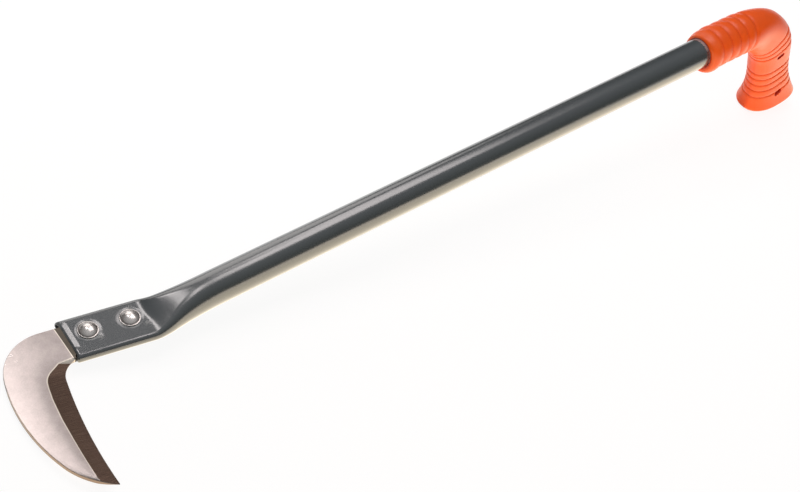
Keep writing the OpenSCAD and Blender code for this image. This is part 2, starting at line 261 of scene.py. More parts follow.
def settle(piece: bpy.types.Object, slot: Slot, *nodes: str) -> bpy.types.Object:
    """Makes a piece ride on the tool and stand for its solids.

    Args:
        piece: the dressed piece.
        slot: not used.
        *nodes: the solids that it replaces.

    Returns:
        The same piece.
    """
    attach(piece, Body.ROOT.value)
    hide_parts(*nodes)
    log.info("%s: %d faces, replaces %s", piece.name, len(piece.data.polygons), ", ".join(nodes))
    return piece


# Finishes


class Graph:
    """A node tree and short ways to add to it."""

    def __init__(self, tree: bpy.types.NodeTree) -> None:
        """Keeps the tree that nodes are added to."""
        self.tree = tree

    def add(self, kind: str, links: dict | None = None, **settings: object) -> bpy.types.Node:
        """Adds a node.

        Args:
            kind: the node's Blender type.
            links: for each input, by name or number, an output socket or a plain value.
            **settings: properties of the node itself.

        Returns:
            The new node.
        """
        node = self.tree.nodes.new(kind)
        for key, value in settings.items():
            setattr(node, key, value)
        for key, value in (links or {}).items():
            self.put(node.inputs[key], value)
        return node

    def put(self, socket: bpy.types.NodeSocket, value: object) -> None:
        """Links an input to an output socket, or gives it a plain value."""
        if isinstance(value, bpy.types.NodeSocket):
            self.tree.links.new(value, socket)
        else:
            socket.default_value = value

    def feed(self, node: bpy.types.Node, **inputs: object) -> None:
        """Puts values to inputs of a node by name, with an underscore for each space."""
        for key, value in inputs.items():
            self.put(node.inputs[key.replace("_", " ")], value)

    def noise(self, vector: bpy.types.NodeSocket, scale: object, detail: float = 3.0,
              roughness: float = 0.55) -> bpy.types.NodeSocket:
        """Returns the value of a noise texture at the given scale per metre."""
        links = {"Vector": vector, "Scale": scale, "Detail": detail, "Roughness": roughness}
        return self.add("ShaderNodeTexNoise", links).outputs["Fac"]

    def span(self, value: bpy.types.NodeSocket, low: object, high: object, to_low: float = 0.0,
             to_high: float = 1.0) -> bpy.types.NodeSocket:
        """Returns a value mapped straight from one range to another, held at its ends."""
        return self.add("ShaderNodeMapRange", {0: value, 1: low, 2: high, 3: to_low, 4: to_high}).outputs[0]

    def math(self, operation: str, a: object, b: object) -> bpy.types.NodeSocket:
        """Returns the result of a Math node on two values."""
        return self.add("ShaderNodeMath", {0: a, 1: b}, operation=operation).outputs[0]

    def times(self, a: object, b: object) -> bpy.types.NodeSocket:
        """Returns a times b."""
        return self.math("MULTIPLY", a, b)

    def plus(self, a: object, b: object) -> bpy.types.NodeSocket:
        """Returns a plus b."""
        return self.math("ADD", a, b)

    def scaled(self, colour: bpy.types.NodeSocket, factor: object) -> bpy.types.NodeSocket:
        """Returns a colour times a factor."""
        return self.add("ShaderNodeVectorMath", {0: colour, "Scale": factor}, operation="SCALE").outputs[0]

    def blend(self, factor: object, a: object, b: object) -> bpy.types.NodeSocket:
        """Returns colour a mixed towards colour b by the factor."""
        return self.add("ShaderNodeMix", {0: factor, 6: a, 7: b}, data_type="RGBA").outputs[2]

    def mask(self, name: str) -> bpy.types.NodeSocket:
        """Returns the value of one of the mesh's own masks."""
        return self.add("ShaderNodeAttribute", attribute_name=name).outputs["Fac"]

    def own(self, group: bpy.types.NodeTree, **values: object) -> bpy.types.Node:
        """Places a shared effect with its own values."""
        node = self.add("ShaderNodeGroup", node_tree=group)
        self.feed(node, **values)
        return node


class Carries(Enum):
    """What a socket of a shared effect carries."""

    COLOUR = "NodeSocketColor"
    VALUE = "NodeSocketFloat"
    VECTOR = "NodeSocketVector"


class Effects:
    """The effects that several finishes share, each a node group that is built once."""

    def __init__(self) -> None:
        """Builds the groups."""
        self.mottle = self.make_mottle()
        self.strokes = self.make_strokes()
        self.skin = self.make_skin()

    @staticmethod
    def group(name: str, takes: dict[str, Carries],
              gives: dict[str, Carries]) -> tuple[Graph, bpy.types.NodeOutputs, bpy.types.Node]:
        """Starts a node group.

        Args:
            name: its name.
            takes: what each input carries, by name.
            gives: what each output carries, by name.

        Returns:
            Its graph, the sockets that bring its inputs, and its output node.
        """
        tree = bpy.data.node_groups.new(name, "ShaderNodeTree")
        for way, sockets in (("INPUT", takes), ("OUTPUT", gives)):
            for key, kind in sockets.items():
                tree.interface.new_socket(name=key, in_out=way, socket_type=kind.value)
        graph = Graph(tree)
        return graph, graph.add("NodeGroupInput").outputs, graph.add("NodeGroupOutput")

    def make_mottle(self) -> bpy.types.NodeTree:
        """Mottle: fine and coarse noise multiplied into a colour, with the same clouds as a value.

        Returns:
            The group with Color, Vector, Scale and Amount in, Color and Value out.
        """
        g, takes, end = self.group(
            "mottle", {"Color": Carries.COLOUR, "Vector": Carries.VECTOR, "Scale": Carries.VALUE,
                       "Amount": Carries.VALUE}, {"Color": Carries.COLOUR, "Value": Carries.VALUE})
        coarse = g.noise(takes["Vector"], takes["Scale"], 4.0, 0.5)
        fine = g.noise(takes["Vector"], g.times(takes["Scale"], 6.0), 2.0, 0.5)
        value = g.plus(g.times(coarse, 0.5), g.times(fine, 0.5))
        swing = g.times(g.math("SUBTRACT", value, 0.5), takes["Amount"])
        g.feed(end, Color=g.scaled(takes["Color"], g.plus(swing, 1.0)), Value=value)
        return g.tree

    def make_strokes(self) -> bpy.types.NodeTree:
        """Strokes: noise drawn out along one axis of the vector, cut to thin lines.

        Returns:
            The group with Vector, Scale and Cut in and Value and Lines out.
        """
        g, takes, end = self.group(
            "strokes", {"Vector": Carries.VECTOR, "Scale": Carries.VECTOR, "Cut": Carries.VALUE},
            {"Value": Carries.VALUE, "Lines": Carries.VALUE})
        drawn = g.add("ShaderNodeVectorMath", {0: takes["Vector"], 1: takes["Scale"]}, operation="MULTIPLY")
        value = g.noise(drawn.outputs[0], 1.0, 3.0, 0.5)
        g.feed(end, Value=value, Lines=g.span(value, takes["Cut"], g.plus(takes["Cut"], 0.07)))
        return g.tree

    def make_skin(self) -> bpy.types.NodeTree:
        """Skin: the low waves and fine pits of a coated or moulded surface, as a height.

        Returns:
            The group with Vector, Waves, Pits and Depth in and Height and Wear out.
        """
        g, takes, end = self.group(
            "skin", {"Vector": Carries.VECTOR, "Waves": Carries.VALUE, "Pits": Carries.VALUE,
                     "Depth": Carries.VALUE}, {"Height": Carries.VALUE, "Wear": Carries.VALUE})
        waves = g.noise(takes["Vector"], takes["Waves"], 1.0, 0.5)
        pits = g.noise(takes["Vector"], takes["Pits"], 3.0, 0.5)
        g.feed(end, Height=g.plus(waves, g.times(pits, takes["Depth"])),
               Wear=g.noise(takes["Vector"], 38.0, 6.0, 0.7))
        return g.tree


def emptied(owner: bpy.types.Material | bpy.types.World) -> Graph:
    """Returns the graph of a material or a world, cleared of its first nodes."""
    owner.use_nodes = True
    owner.node_tree.nodes.clear()
    return Graph(owner.node_tree)


def surface(name: str) -> tuple[bpy.types.Material, Graph, bpy.types.Node, bpy.types.NodeSocket]:
    """Starts a material.

    Args:
        name: its name.

    Returns:
        The material, its graph, its Principled shader and its object coordinates.
    """
    material = bpy.data.materials.new(name)
    graph = emptied(material)
    shader = graph.add("ShaderNodeBsdfPrincipled")
    graph.add("ShaderNodeOutputMaterial", {"Surface": shader.outputs["BSDF"]})
    where = graph.add("ShaderNodeTexCoord").outputs["Object"]
    return material, graph, shader, where


def raise_by(graph: Graph, shader: bpy.types.Node, height: bpy.types.NodeSocket, distance: float,
             strength: float = 1.0) -> None:
    """Feeds a height through a Bump node into the shader's normal."""
    node = graph.add("ShaderNodeBump", {"Height": height, "Distance": distance, "Strength": strength})
    graph.feed(shader, Normal=node.outputs["Normal"])


@dataclass(frozen=True)
class SlatePaint:
    """Gloss slate-grey coat on the tube, with scuffs, and glue and paint left at the collar."""

    colour: Colour = (0.026, 0.040, 0.047, 1)
    residue: Colour = (0.270, 0.175, 0.170, 1)
    flecks: Colour = (0.50, 0.42, 0.42, 1)
    scuffs: Colour = (0.42, 0.42, 0.41, 1)
    rough: float = 0.24

    def material(self, fx: Effects) -> bpy.types.Material:
        """Returns the paint's material."""
        mat, g, shader, where = surface("slate_paint")
        base = g.own(fx.mottle, Color=self.colour, Vector=where, Scale=60.0, Amount=0.22)
        skin = g.own(fx.skin, Vector=where, Waves=260.0, Pits=1800.0, Depth=0.10)
        residue = g.mask("residue")
        patch = g.span(g.plus(g.noise(where, 700.0, 4.0), g.times(residue, 0.6)), 0.70, 0.86)
        held = g.times(patch, g.span(residue, 0.05, 0.5))
        speck = g.times(g.span(g.noise(where, 2300.0, 3.0), 0.58, 0.66), held)
        scuff = g.times(g.mask("scuff"), g.span(g.noise(where, 1500.0, 4.0), 0.46, 0.56))
        wear = g.times(g.mask("rim"), g.span(skin.outputs["Wear"], 0.42, 0.62))
        colour = g.blend(held, base.outputs["Color"], self.residue)
        colour = g.blend(speck, colour, self.flecks)
        colour = g.blend(scuff, colour, self.scuffs)
        colour = g.blend(g.times(wear, 0.35), colour, self.scuffs)
        g.feed(shader, Base_Color=colour)
        rough = g.plus(g.span(skin.outputs["Wear"], 0.3, 0.7, self.rough - 0.015, self.rough + 0.02),
                       g.times(g.math("MAXIMUM", held, scuff), 0.3))
        g.feed(shader, Roughness=rough)
        shader.inputs["IOR"].default_value = 1.6
        shader.inputs["Specular IOR Level"].default_value = 1.0
        shader.inputs["Coat Weight"].default_value = 0.85
        shader.inputs["Coat Roughness"].default_value = 0.16
        height = g.plus(skin.outputs["Height"], g.times(held, 1.6))
        raise_by(g, shader, height, 0.00005, 0.035)
        return mat


@dataclass(frozen=True)
class BladeSteel:
    """Satin rolled steel of the blade's flats: a fine mottled grain, rubbed strokes, a painted sheen across
    the flat, a painted shadow where the blade enters the socket with a painted highlight line beside it, and
    a painted highlight along the bevel's border."""

    colour: Colour = (0.430, 0.382, 0.367, 1)
    socket_shadow: Colour = (0.050, 0.042, 0.026, 1)
    painted_glint: Colour = (0.86, 0.80, 0.68, 1)
    rubbed: Colour = (0.95, 0.93, 0.90, 1)
    rough: float = 0.30

    def material(self, fx: Effects) -> bpy.types.Material:
        """Returns the flats' material."""
        mat, g, shader, where = surface("blade_flats")
        base = g.own(fx.mottle, Color=self.colour, Vector=where, Scale=190.0, Amount=0.62)
        # Painted sheen: the flat's colour is scaled up away from the socket and down towards the bevel's side
        # and the tip, with random tone added
        sheen_and_tone = g.plus(g.mask("painted_sheen"), g.span(g.noise(where, 40.0, 3.0), 0.3, 0.7, -0.12, 0.12))
        sheen_factor = g.span(sheen_and_tone, 0.0, 1.0, 0.74, 1.12)
        sheened = g.scaled(base.outputs["Color"], sheen_factor)
        rub = g.own(fx.strokes, Vector=where, Scale=(260.0, 900.0, 900.0), Cut=0.62)
        strokes = g.times(rub.outputs["Lines"], g.mask("back"))
        colour = g.blend(g.times(strokes, 0.55), sheened, self.rubbed)
        # A painted shadow darkens the neck where it enters the socket, and a painted highlight line runs
        # beside its border; both slant across the neck
        reach = g.plus(g.mask("out"), g.times(g.mask("hookward"), 0.135))
        ragged = g.plus(reach, g.times(g.noise(where, 900.0, 2.0), 0.5))
        colour = g.blend(g.times(g.span(ragged, 5.75, 5.45), 0.86), colour, self.socket_shadow)
        line = g.times(g.span(reach, 5.2, 5.5), g.span(reach, 6.0, 5.7))
        colour = g.blend(g.times(line, 0.75), colour, self.painted_glint)
        # Painted highlight: a bright line along the border between flat and bevel
        colour = g.blend(g.mask("painted_glint"), colour, self.painted_glint)
        g.feed(shader, Base_Color=colour)
        shader.inputs["Metallic"].default_value = 1.0
        rough = g.span(base.outputs["Value"], 0.3, 0.7, self.rough - 0.01, self.rough + 0.02)
        g.feed(shader, Roughness=g.math("SUBTRACT", rough, g.times(strokes, 0.08)))
        grain = g.plus(g.noise(where, 1300.0, 2.0), g.times(rub.outputs["Value"], 0.35))
        raise_by(g, shader, grain, 0.00004, 0.12)
        return mat


@dataclass(frozen=True)
class GroundBevel:
    """The bevel: steel with fine grinding lines that cross it, read from its UV map; its dark brown colour is
    painted shade.
    """

    # Painted shade: the bevel's base colour is made dark brown, far darker than the steel of the flats
    colour: Colour = (0.036, 0.0235, 0.018, 1)
    light: Colour = (0.125, 0.092, 0.072, 1)
    streak: Colour = (0.15, 0.10, 0.075, 1)
    painted_glint: Colour = (0.62, 0.55, 0.45, 1)
    rough: float = 0.30

    def material(self, fx: Effects) -> bpy.types.Material:
        """Returns the bevel's material."""
        mat, g, shader, where = surface("ground_bevel")
        along = g.add("ShaderNodeUVMap", uv_map="surface").outputs["UV"]
        lines = g.own(fx.strokes, Vector=along, Scale=(160.0, 4.0, 1.0), Cut=0.56)
        broad = g.own(fx.strokes, Vector=along, Scale=(26.0, 1.2, 1.0), Cut=0.5)
        base = g.own(fx.mottle, Color=self.colour, Vector=where, Scale=160.0, Amount=0.3)
        colour = g.blend(g.times(lines.outputs["Lines"], 0.5), base.outputs["Color"], self.light)
        colour = g.blend(g.span(broad.outputs["Value"], 0.35, 0.7, 0.0, 0.28), colour, self.streak)
        # Painted highlight along the bevel's border
        colour = g.blend(g.mask("painted_glint"), colour, self.painted_glint)
        g.feed(shader, Base_Color=colour)
        shader.inputs["Metallic"].default_value = 1.0
        rough = g.span(lines.outputs["Value"], 0.3, 0.7, self.rough - 0.05, self.rough + 0.08)
        g.feed(shader, Roughness=rough)
        raise_by(g, shader, g.plus(lines.outputs["Value"], g.times(broad.outputs["Value"], 0.5)),
                 0.00004, 0.55)
        return mat


@dataclass(frozen=True)
class HeelGrind:
    """Ground steel without a sheet's grain: the bright runout of the grind at the heel, and, in a darker
    brown that is painted shade, the wall that was cut all round the blade."""

    name: str = "heel_grind"
    colour: Colour = (0.88, 0.80, 0.71, 1)

    def material(self, fx: Effects) -> bpy.types.Material:
        """Returns the ground steel's material."""
        mat, g, shader, where = surface(self.name)
        base = g.own(fx.mottle, Color=self.colour, Vector=where, Scale=500.0, Amount=0.3)
        lines = g.own(fx.strokes, Vector=where, Scale=(400.0, 2600.0, 900.0), Cut=0.58)
        g.feed(shader, Base_Color=base.outputs["Color"])
        shader.inputs["Metallic"].default_value = 1.0
        g.feed(shader, Roughness=g.span(lines.outputs["Value"], 0.3, 0.7, 0.26, 0.42))
        raise_by(g, shader, lines.outputs["Value"], 0.00003, 0.5)
        return mat


@dataclass(frozen=True)
class PlatedRivet:
    """Bright plated rivet heads with faint surface marks, and painted shade round the foot."""

    colour: Colour = (0.80, 0.765, 0.74, 1)
    foot_shade: Colour = (0.07, 0.055, 0.05, 1)

    def material(self, fx: Effects) -> bpy.types.Material:
        """Returns the plating's material."""
        mat, g, shader, where = surface("plated_rivet")
        base = g.own(fx.mottle, Color=self.colour, Vector=where, Scale=420.0, Amount=0.35)
        # Painted shade: a dark ring, broken by noise, round the foot of each head
        foot = g.times(g.mask("foot"), g.span(g.noise(where, 700.0, 3.0), 0.25, 0.6, 0.5, 1.0))
        g.feed(shader, Base_Color=g.blend(foot, base.outputs["Color"], self.foot_shade))
        shader.inputs["Metallic"].default_value = 1.0
        g.feed(shader, Roughness=g.span(base.outputs["Value"], 0.35, 0.65, 0.22, 0.32))
        raise_by(g, shader, g.noise(where, 1400.0, 2.0), 0.00005, 0.3)
        return mat


@dataclass(frozen=True)
class OrangePlastic:
    """Semi-gloss moulded orange: faint flow clouds, a moulding skin, painted shade in the grooves, the bore
    and the slots, and a rubbed foot and collar.
    """

    colour: Colour = (1.0, 0.112, 0.003, 1)
    deep: Colour = (0.62, 0.030, 0.002, 1)
    rubbed: Colour = (0.93, 0.22, 0.06, 1)
    rough: float = 0.33

    def material(self, fx: Effects) -> bpy.types.Material:
        """Returns the plastic's material."""
        mat, g, shader, where = surface("orange_plastic")
        base = g.own(fx.mottle, Color=self.colour, Vector=where, Scale=34.0, Amount=0.16)
        skin = g.own(fx.skin, Vector=where, Waves=330.0, Pits=3400.0, Depth=0.30)
        # Painted shade: the groove mask darkens the grooves, the bore and the slots' walls to a deeper orange
        colour = g.blend(g.mask("groove"), base.outputs["Color"], self.deep)
        rub = g.times(g.mask("rubbed"), g.span(skin.outputs["Wear"], 0.4, 0.65, 0.0, 0.7))
        colour = g.blend(rub, colour, self.rubbed)
        g.feed(shader, Base_Color=colour)
        g.feed(shader, Roughness=g.span(skin.outputs["Wear"], 0.3, 0.7, self.rough - 0.04, self.rough + 0.07))
        shader.inputs["IOR"].default_value = 1.5
        shader.inputs["Specular IOR Level"].default_value = 0.42
        raise_by(g, shader, skin.outputs["Height"], 0.00005, 0.4)
        return mat


# The pieces


@dataclass
class Socket:
    """The pressed end of the tube, where blade and rivets sit (mm). The mouth's frame runs out
    through the mouth along its first axis and towards the hook along its second."""

    bend: float = 11.0
    bend_r: float = 60.0
    flat_len: float = 54.0
    thick: float = 7.1
    shift: float = 0.8
    rivet_inset: float = 13.0
    rivet_pitch: float = 29.5
    rivet_offset: float = 2.0

    @property
    def tangent(self) -> float:
        """Distance from the shaft line's corner to the start of the bend."""
        return self.bend_r * math.tan(math.radians(self.bend / 2))

    @property
    def mouth(self) -> float:
        """Distance from the shaft line's corner to the mouth."""
        return self.tangent + self.flat_len

    def from_mouth(self, s: np.ndarray, q: np.ndarray, z: np.ndarray) -> np.ndarray:
        """Places points of the mouth's frame in the tool's: the mouth's axes are turned half round
        less the bend, and start at the mouth's distance from the corner.

        Args:
            s: distances out through the mouth.
            q: distances towards the hook.
            z: heights above the blade's middle plane.

        Returns:
            The points, with X, Y, Z last.
        """
        c, d = math.cos(math.radians(self.bend)), math.sin(math.radians(self.bend))
        out = self.mouth + s
        return np.stack(np.broadcast_arrays(-out * c - q * d, out * d - q * c, z), -1)


@dataclass
class ShaftTube:
    """The shaft: a round tube pressed flat at one end, with a scalloped mouth (mm)."""

    socket: Socket
    tube_d: float = 25.0
    wall: float = 1.5
    bare_len: float = 539.0
    grip_depth: float = 56.0
    press_len: float = 56.0
    press_power: float = 2.4
    mouth_r: float = 36.0
    mouth_dip: float = 1.5
    mouth_lip: float = 5.0
    mouth_offset: float = 4.0
    cut: float = 2.0
    cut_slant: float = 0.085
    cut_ease: float = 2.5
    crease: float = 1.15
    skew: float = 0.13
    wave: float = 0.5
    wave_len: float = 4.2
    roll: float = 0.36
    roll_len: float = 4.5
    roll_span: tuple[float, float, float] = (-10.0, 15.0, 3.0)
    cut_len: float = 1.9
    dish: float = 0.35
    dish_r: float = 6.9
    dish_fade: float = 2.6
    dent: float = 0.22
    dent_at: tuple[float, float, float] = (-18.9, 5.6, 2.6)
    scuff_size: tuple[float, float] = (2.2, 5.0)
    spot_share: float = 0.5
    spots: tuple[tuple[float, float, float], ...] = ((-52.0, 6.0, 5.0), (-46.0, -10.0, 3.0))
    lip_round: float = 1.15
    lip_inner: float = 0.25
    row_stops: tuple[float, ...] = (470.0, 60.0, 8.0, -6.0)
    row_counts: tuple[int, ...] = (60, 28, 44, 30)
    flat_rows: int = 56
    flat_power: float = 1.6
    rim_rows: int = 6
    around: int = 144

    def pressed_width(self, thick: np.ndarray) -> np.ndarray:
        """Returns the width of the tube pressed to a thickness, so that its perimeter stays: the
        thickness plus pi times its difference to the round over two."""
        return thick + math.pi * (self.tube_d - thick) / 2

    def section(self, turn: np.ndarray, width: np.ndarray,
                thick: np.ndarray) -> tuple[np.ndarray, np.ndarray]:
        """Outline of a slot shape: a straight run from the middle, then a half circle.

        Args:
            turn: share of the way round, from 0 to 1.
            width: whole width of the slot shape.
            thick: its thickness.

        Returns:
            The distance across and the height of each point.
        """
        flat = (width - thick) / 2
        quarter = flat + math.pi * thick / 4
        step = np.floor(turn * 4)
        along = (turn * 4 - step) * quarter
        run = np.where(step % 2 == 0, along, quarter - along)
        bend = np.maximum(0, run - flat) / (thick / 2)
        across = (np.minimum(run, flat) + thick / 2 * np.sin(bend)) * np.where(step < 2, 1, -1)
        height = thick / 2 * np.cos(bend) * np.where((step == 0) | (step == 3), 1, -1)
        return across, height

    def lie(self, turn: np.ndarray) -> np.ndarray:
        """Returns how far across the socket's flat each way round lies."""
        thick = self.socket.thick
        return self.section(turn, self.pressed_width(thick), thick)[0]

    def mouth_end(self, q: np.ndarray) -> np.ndarray:
        """Returns how far the wall runs past the mouth at q: a slanting cut between the two lips of
        a circle's scallop, capped at the lip."""
        scallop = self.mouth_r - self.mouth_dip - np.sqrt(self.mouth_r**2 - (q - self.mouth_offset) ** 2)
        slant = self.cut - self.cut_slant * q
        eased = np.logaddexp(scallop * self.cut_ease, slant * self.cut_ease) / self.cut_ease
        return np.minimum(self.mouth_lip, eased)

    @staticmethod
    def spot(s: np.ndarray, q: np.ndarray, at: tuple[float, float, float]) -> np.ndarray:
        """Returns a soft spot at two places: e to the minus squared distance over the third."""
        return np.exp(-((s - at[0]) ** 2 + (q - at[1]) ** 2) / at[2])

    def skin(self, run: np.ndarray, turn: np.ndarray, draw: np.ndarray, end: np.ndarray) -> np.ndarray:
        """Points of the wall. Its thickness grows from the socket's to the round with one less the
        power of one less the share of the pressed length, and its width follows from that.

        Args:
            run: length along the tube from the end of the flat, negative in the socket.
            turn: share of the way round.
            draw: how far the surface is drawn in from the outside.
            end: the run at which the wall ends at the mouth, for each way round.

        Returns:
            The points in the tool's frame.
        """
        sock = self.socket
        lie = self.lie(turn)
        slant = run + self.skew * lie + self.wave * np.sin(lie / self.wave_len)
        share = np.clip(self.crease * np.logaddexp(0, slant / self.crease) / self.press_len, 0, 1)
        thick = sock.thick + (self.tube_d - sock.thick) * (1 - (1 - share) ** self.press_power)
        across, height = self.section(turn, self.pressed_width(thick) - 2 * draw, thick - 2 * draw)
        # The walls fall off towards the mouth, dish under the rivets and carry one dent
        top = np.sign(height) * np.clip(np.abs(height) / (thick / 2 - draw), 0, 1) ** 6
        fall = self.roll * np.clip((self.roll_len - run + end) / (self.roll_len - self.cut_len), 0, 1)
        first, last, fade = self.roll_span
        height = height - top * fall * smooth((lie - first) / fade) * smooth((last - lie) / fade)
        s, q = -sock.flat_len - run, sock.shift - lie
        for k in (0, 1):
            away = np.hypot(s + sock.rivet_inset + k * sock.rivet_pitch, q + sock.rivet_offset)
            height = height - top * self.dish * (1 - smooth((away - self.dish_r) / self.dish_fade))
        height = height - self.dent * np.maximum(top, 0) * self.spot(s, q, self.dent_at)
        # Middle line: straight socket, arc of the bend, straight shaft
        arc_len = sock.bend_r * math.radians(sock.bend)
        heading = math.radians(sock.bend) * (1 - np.clip(run, 0, arc_len) / arc_len)
        ahead, behind = np.maximum(0, run - arc_len), np.maximum(0, -run)
        x = sock.tangent - sock.bend_r * np.sin(heading) + ahead - behind * np.cos(heading)
        y = sock.bend_r * (1 - np.cos(heading)) + behind * np.sin(heading)
        off = across - sock.shift * (1 - np.clip(run / self.press_len, 0, 1))
        return np.stack([x + off * np.sin(heading), y + off * np.cos(heading), height], -1)

    def rows(self, end: np.ndarray) -> tuple[np.ndarray, np.ndarray]:
        """Lays out the rows: outside from the grip to the mouth, round the rim, inside back.

        Args:
            end: the run at which the wall ends at the mouth, for each way round.

        Returns:
            The run of each point, and how far each row is drawn in from the outside.
        """
        sock = self.socket
        last = self.bare_len + self.grip_depth - sock.tangent + sock.bend_r * math.radians(sock.bend)
        stops = (last, *self.row_stops)
        legs = zip(stops, stops[1:], self.row_counts)
        shaft = np.concatenate([np.linspace(a, b, n)[:-1] for a, b, n in legs] + [stops[-1:]])
        share = 1 - (1 - np.linspace(0, 1, self.flat_rows)[1:, None]) ** self.flat_power
        outer = stops[-1] - share * (stops[-1] - end - self.cut_len)[None]
        inner = stops[-1] - share[::-1] * (stops[-1] - end - self.lip_inner)[None]
        a = np.linspace(0, math.pi / 2, self.rim_rows)
        draw = np.concatenate([self.lip_round * (1 - np.cos(a[1:])),
                               self.wall - self.lip_inner + self.lip_inner * np.sin(a)])
        back = np.concatenate([self.cut_len * (1 - np.sin(a[1:])), self.lip_inner * (1 - np.cos(a))])
        outside = np.concatenate([np.repeat(shaft[:, None], self.around, 1), outer])
        inside = np.concatenate([inner[1:], np.repeat(shaft[::-2, None], self.around, 1)])
        inside[-1] = last
        run = np.concatenate([outside, end[None] + back[:, None], inside])
        draw = np.concatenate([np.zeros(len(outside)), draw, np.full(len(inside), self.wall)])
        return run, draw[:, None]

    def shell(self) -> Shell:
        """Works out the whole wall as one ring of rows, closed by the cut end in the grip.

        Returns:
            The closed shell with its masks.
        """
        sock = self.socket
        turn = (np.arange(self.around) + 0.5) / self.around
        lie = self.lie(turn)
        end = -sock.flat_len - self.mouth_end(sock.shift - lie)
        run, draw = self.rows(end)
        points = self.skin(run, np.broadcast_to(turn, run.shape), draw, end[None])
        shown = points[..., 2] > 0
        s, q = -sock.flat_len - run, sock.shift - lie[None]
        out, over = self.scuff_size
        scuff = np.exp(-((s - self.dent_at[0]) ** 2 / out + (q - self.dent_at[1]) ** 2 / over))
        spots = sum(self.spot(s, q, at) for at in self.spots)
        scuff = np.clip((scuff + self.spot_share * spots) * shown, 0, 1)
        # Residue: a ragged band at the collar, widest over the top and narrow under the tube
        reach = 0.8 + 3.4 * bump(np.degrees(np.arctan2(points[..., 2], points[..., 1])), 80, 100)
        residue = smooth((points[..., 0] - self.bare_len + reach) / 1.6) * (draw == 0)
        rim = np.exp(-((run - end[None]) / 1.1) ** 2)
        uv = np.stack(np.broadcast_arrays(run / 100, turn[None]), -1)
        return Shell(points.reshape(-1, 3), grid_quads(len(run), self.around, close_rows=True),
                     uv=uv.reshape(-1, 2), crease=40,
                     masks={"scuff": scuff, "residue": residue, "rim": rim})

    def dress(self, fx: Effects) -> bpy.types.Object:
        """Returns the painted tube."""
        piece = self.shell().build("Painted_Shaft_Tube", [SlatePaint().material(fx)])
        return settle(piece, Slot.TUBE, "shaft_tube")


def arc(centre: tuple[float, float], radius: float, start: float, end: float, count: int = 40) -> np.ndarray:
    """Returns points of a circle's arc from one angle to another, in degrees."""
    a = np.radians(np.linspace(start, end, count))
    return np.stack([centre[0] + radius * np.cos(a), centre[1] + radius * np.sin(a)], -1)


@dataclass
class Path:
    """A line of points that is read by its length."""

    points: np.ndarray

    @property
    def run(self) -> np.ndarray:
        """Length up to each point."""
        return np.concatenate([[0], np.cumsum(np.linalg.norm(np.diff(self.points, axis=0), axis=1))])

    def at(self, length: np.ndarray) -> np.ndarray:
        """Returns the points at the given lengths, straight between neighbours."""
        run = self.run
        return np.stack([np.interp(length, run, self.points[:, k]) for k in (0, 1)], -1)

    def nearest(self, targets: np.ndarray) -> np.ndarray:
        """Returns the lengths at which the path passes closest to each target."""
        fine = np.linspace(0, self.run[-1], 6000)
        gap = np.linalg.norm(self.at(fine)[None] - targets[:, None], axis=-1)
        return fine[gap.argmin(1)]


class Face(IntEnum):
    """The blade's finishes, in the order of its materials."""

    FLAT = 0
    BEVEL = 1
    RUNOUT = 2
    CUT_WALL = 3


@dataclass
class Rulings:
    """Matched points of the blade, row by row from the tang to the tip (mm)."""

    edge: np.ndarray
    border: np.ndarray
    back: np.ndarray
    half: np.ndarray
    run: np.ndarray
    heel: int
    bevel: int
    meets: np.ndarray


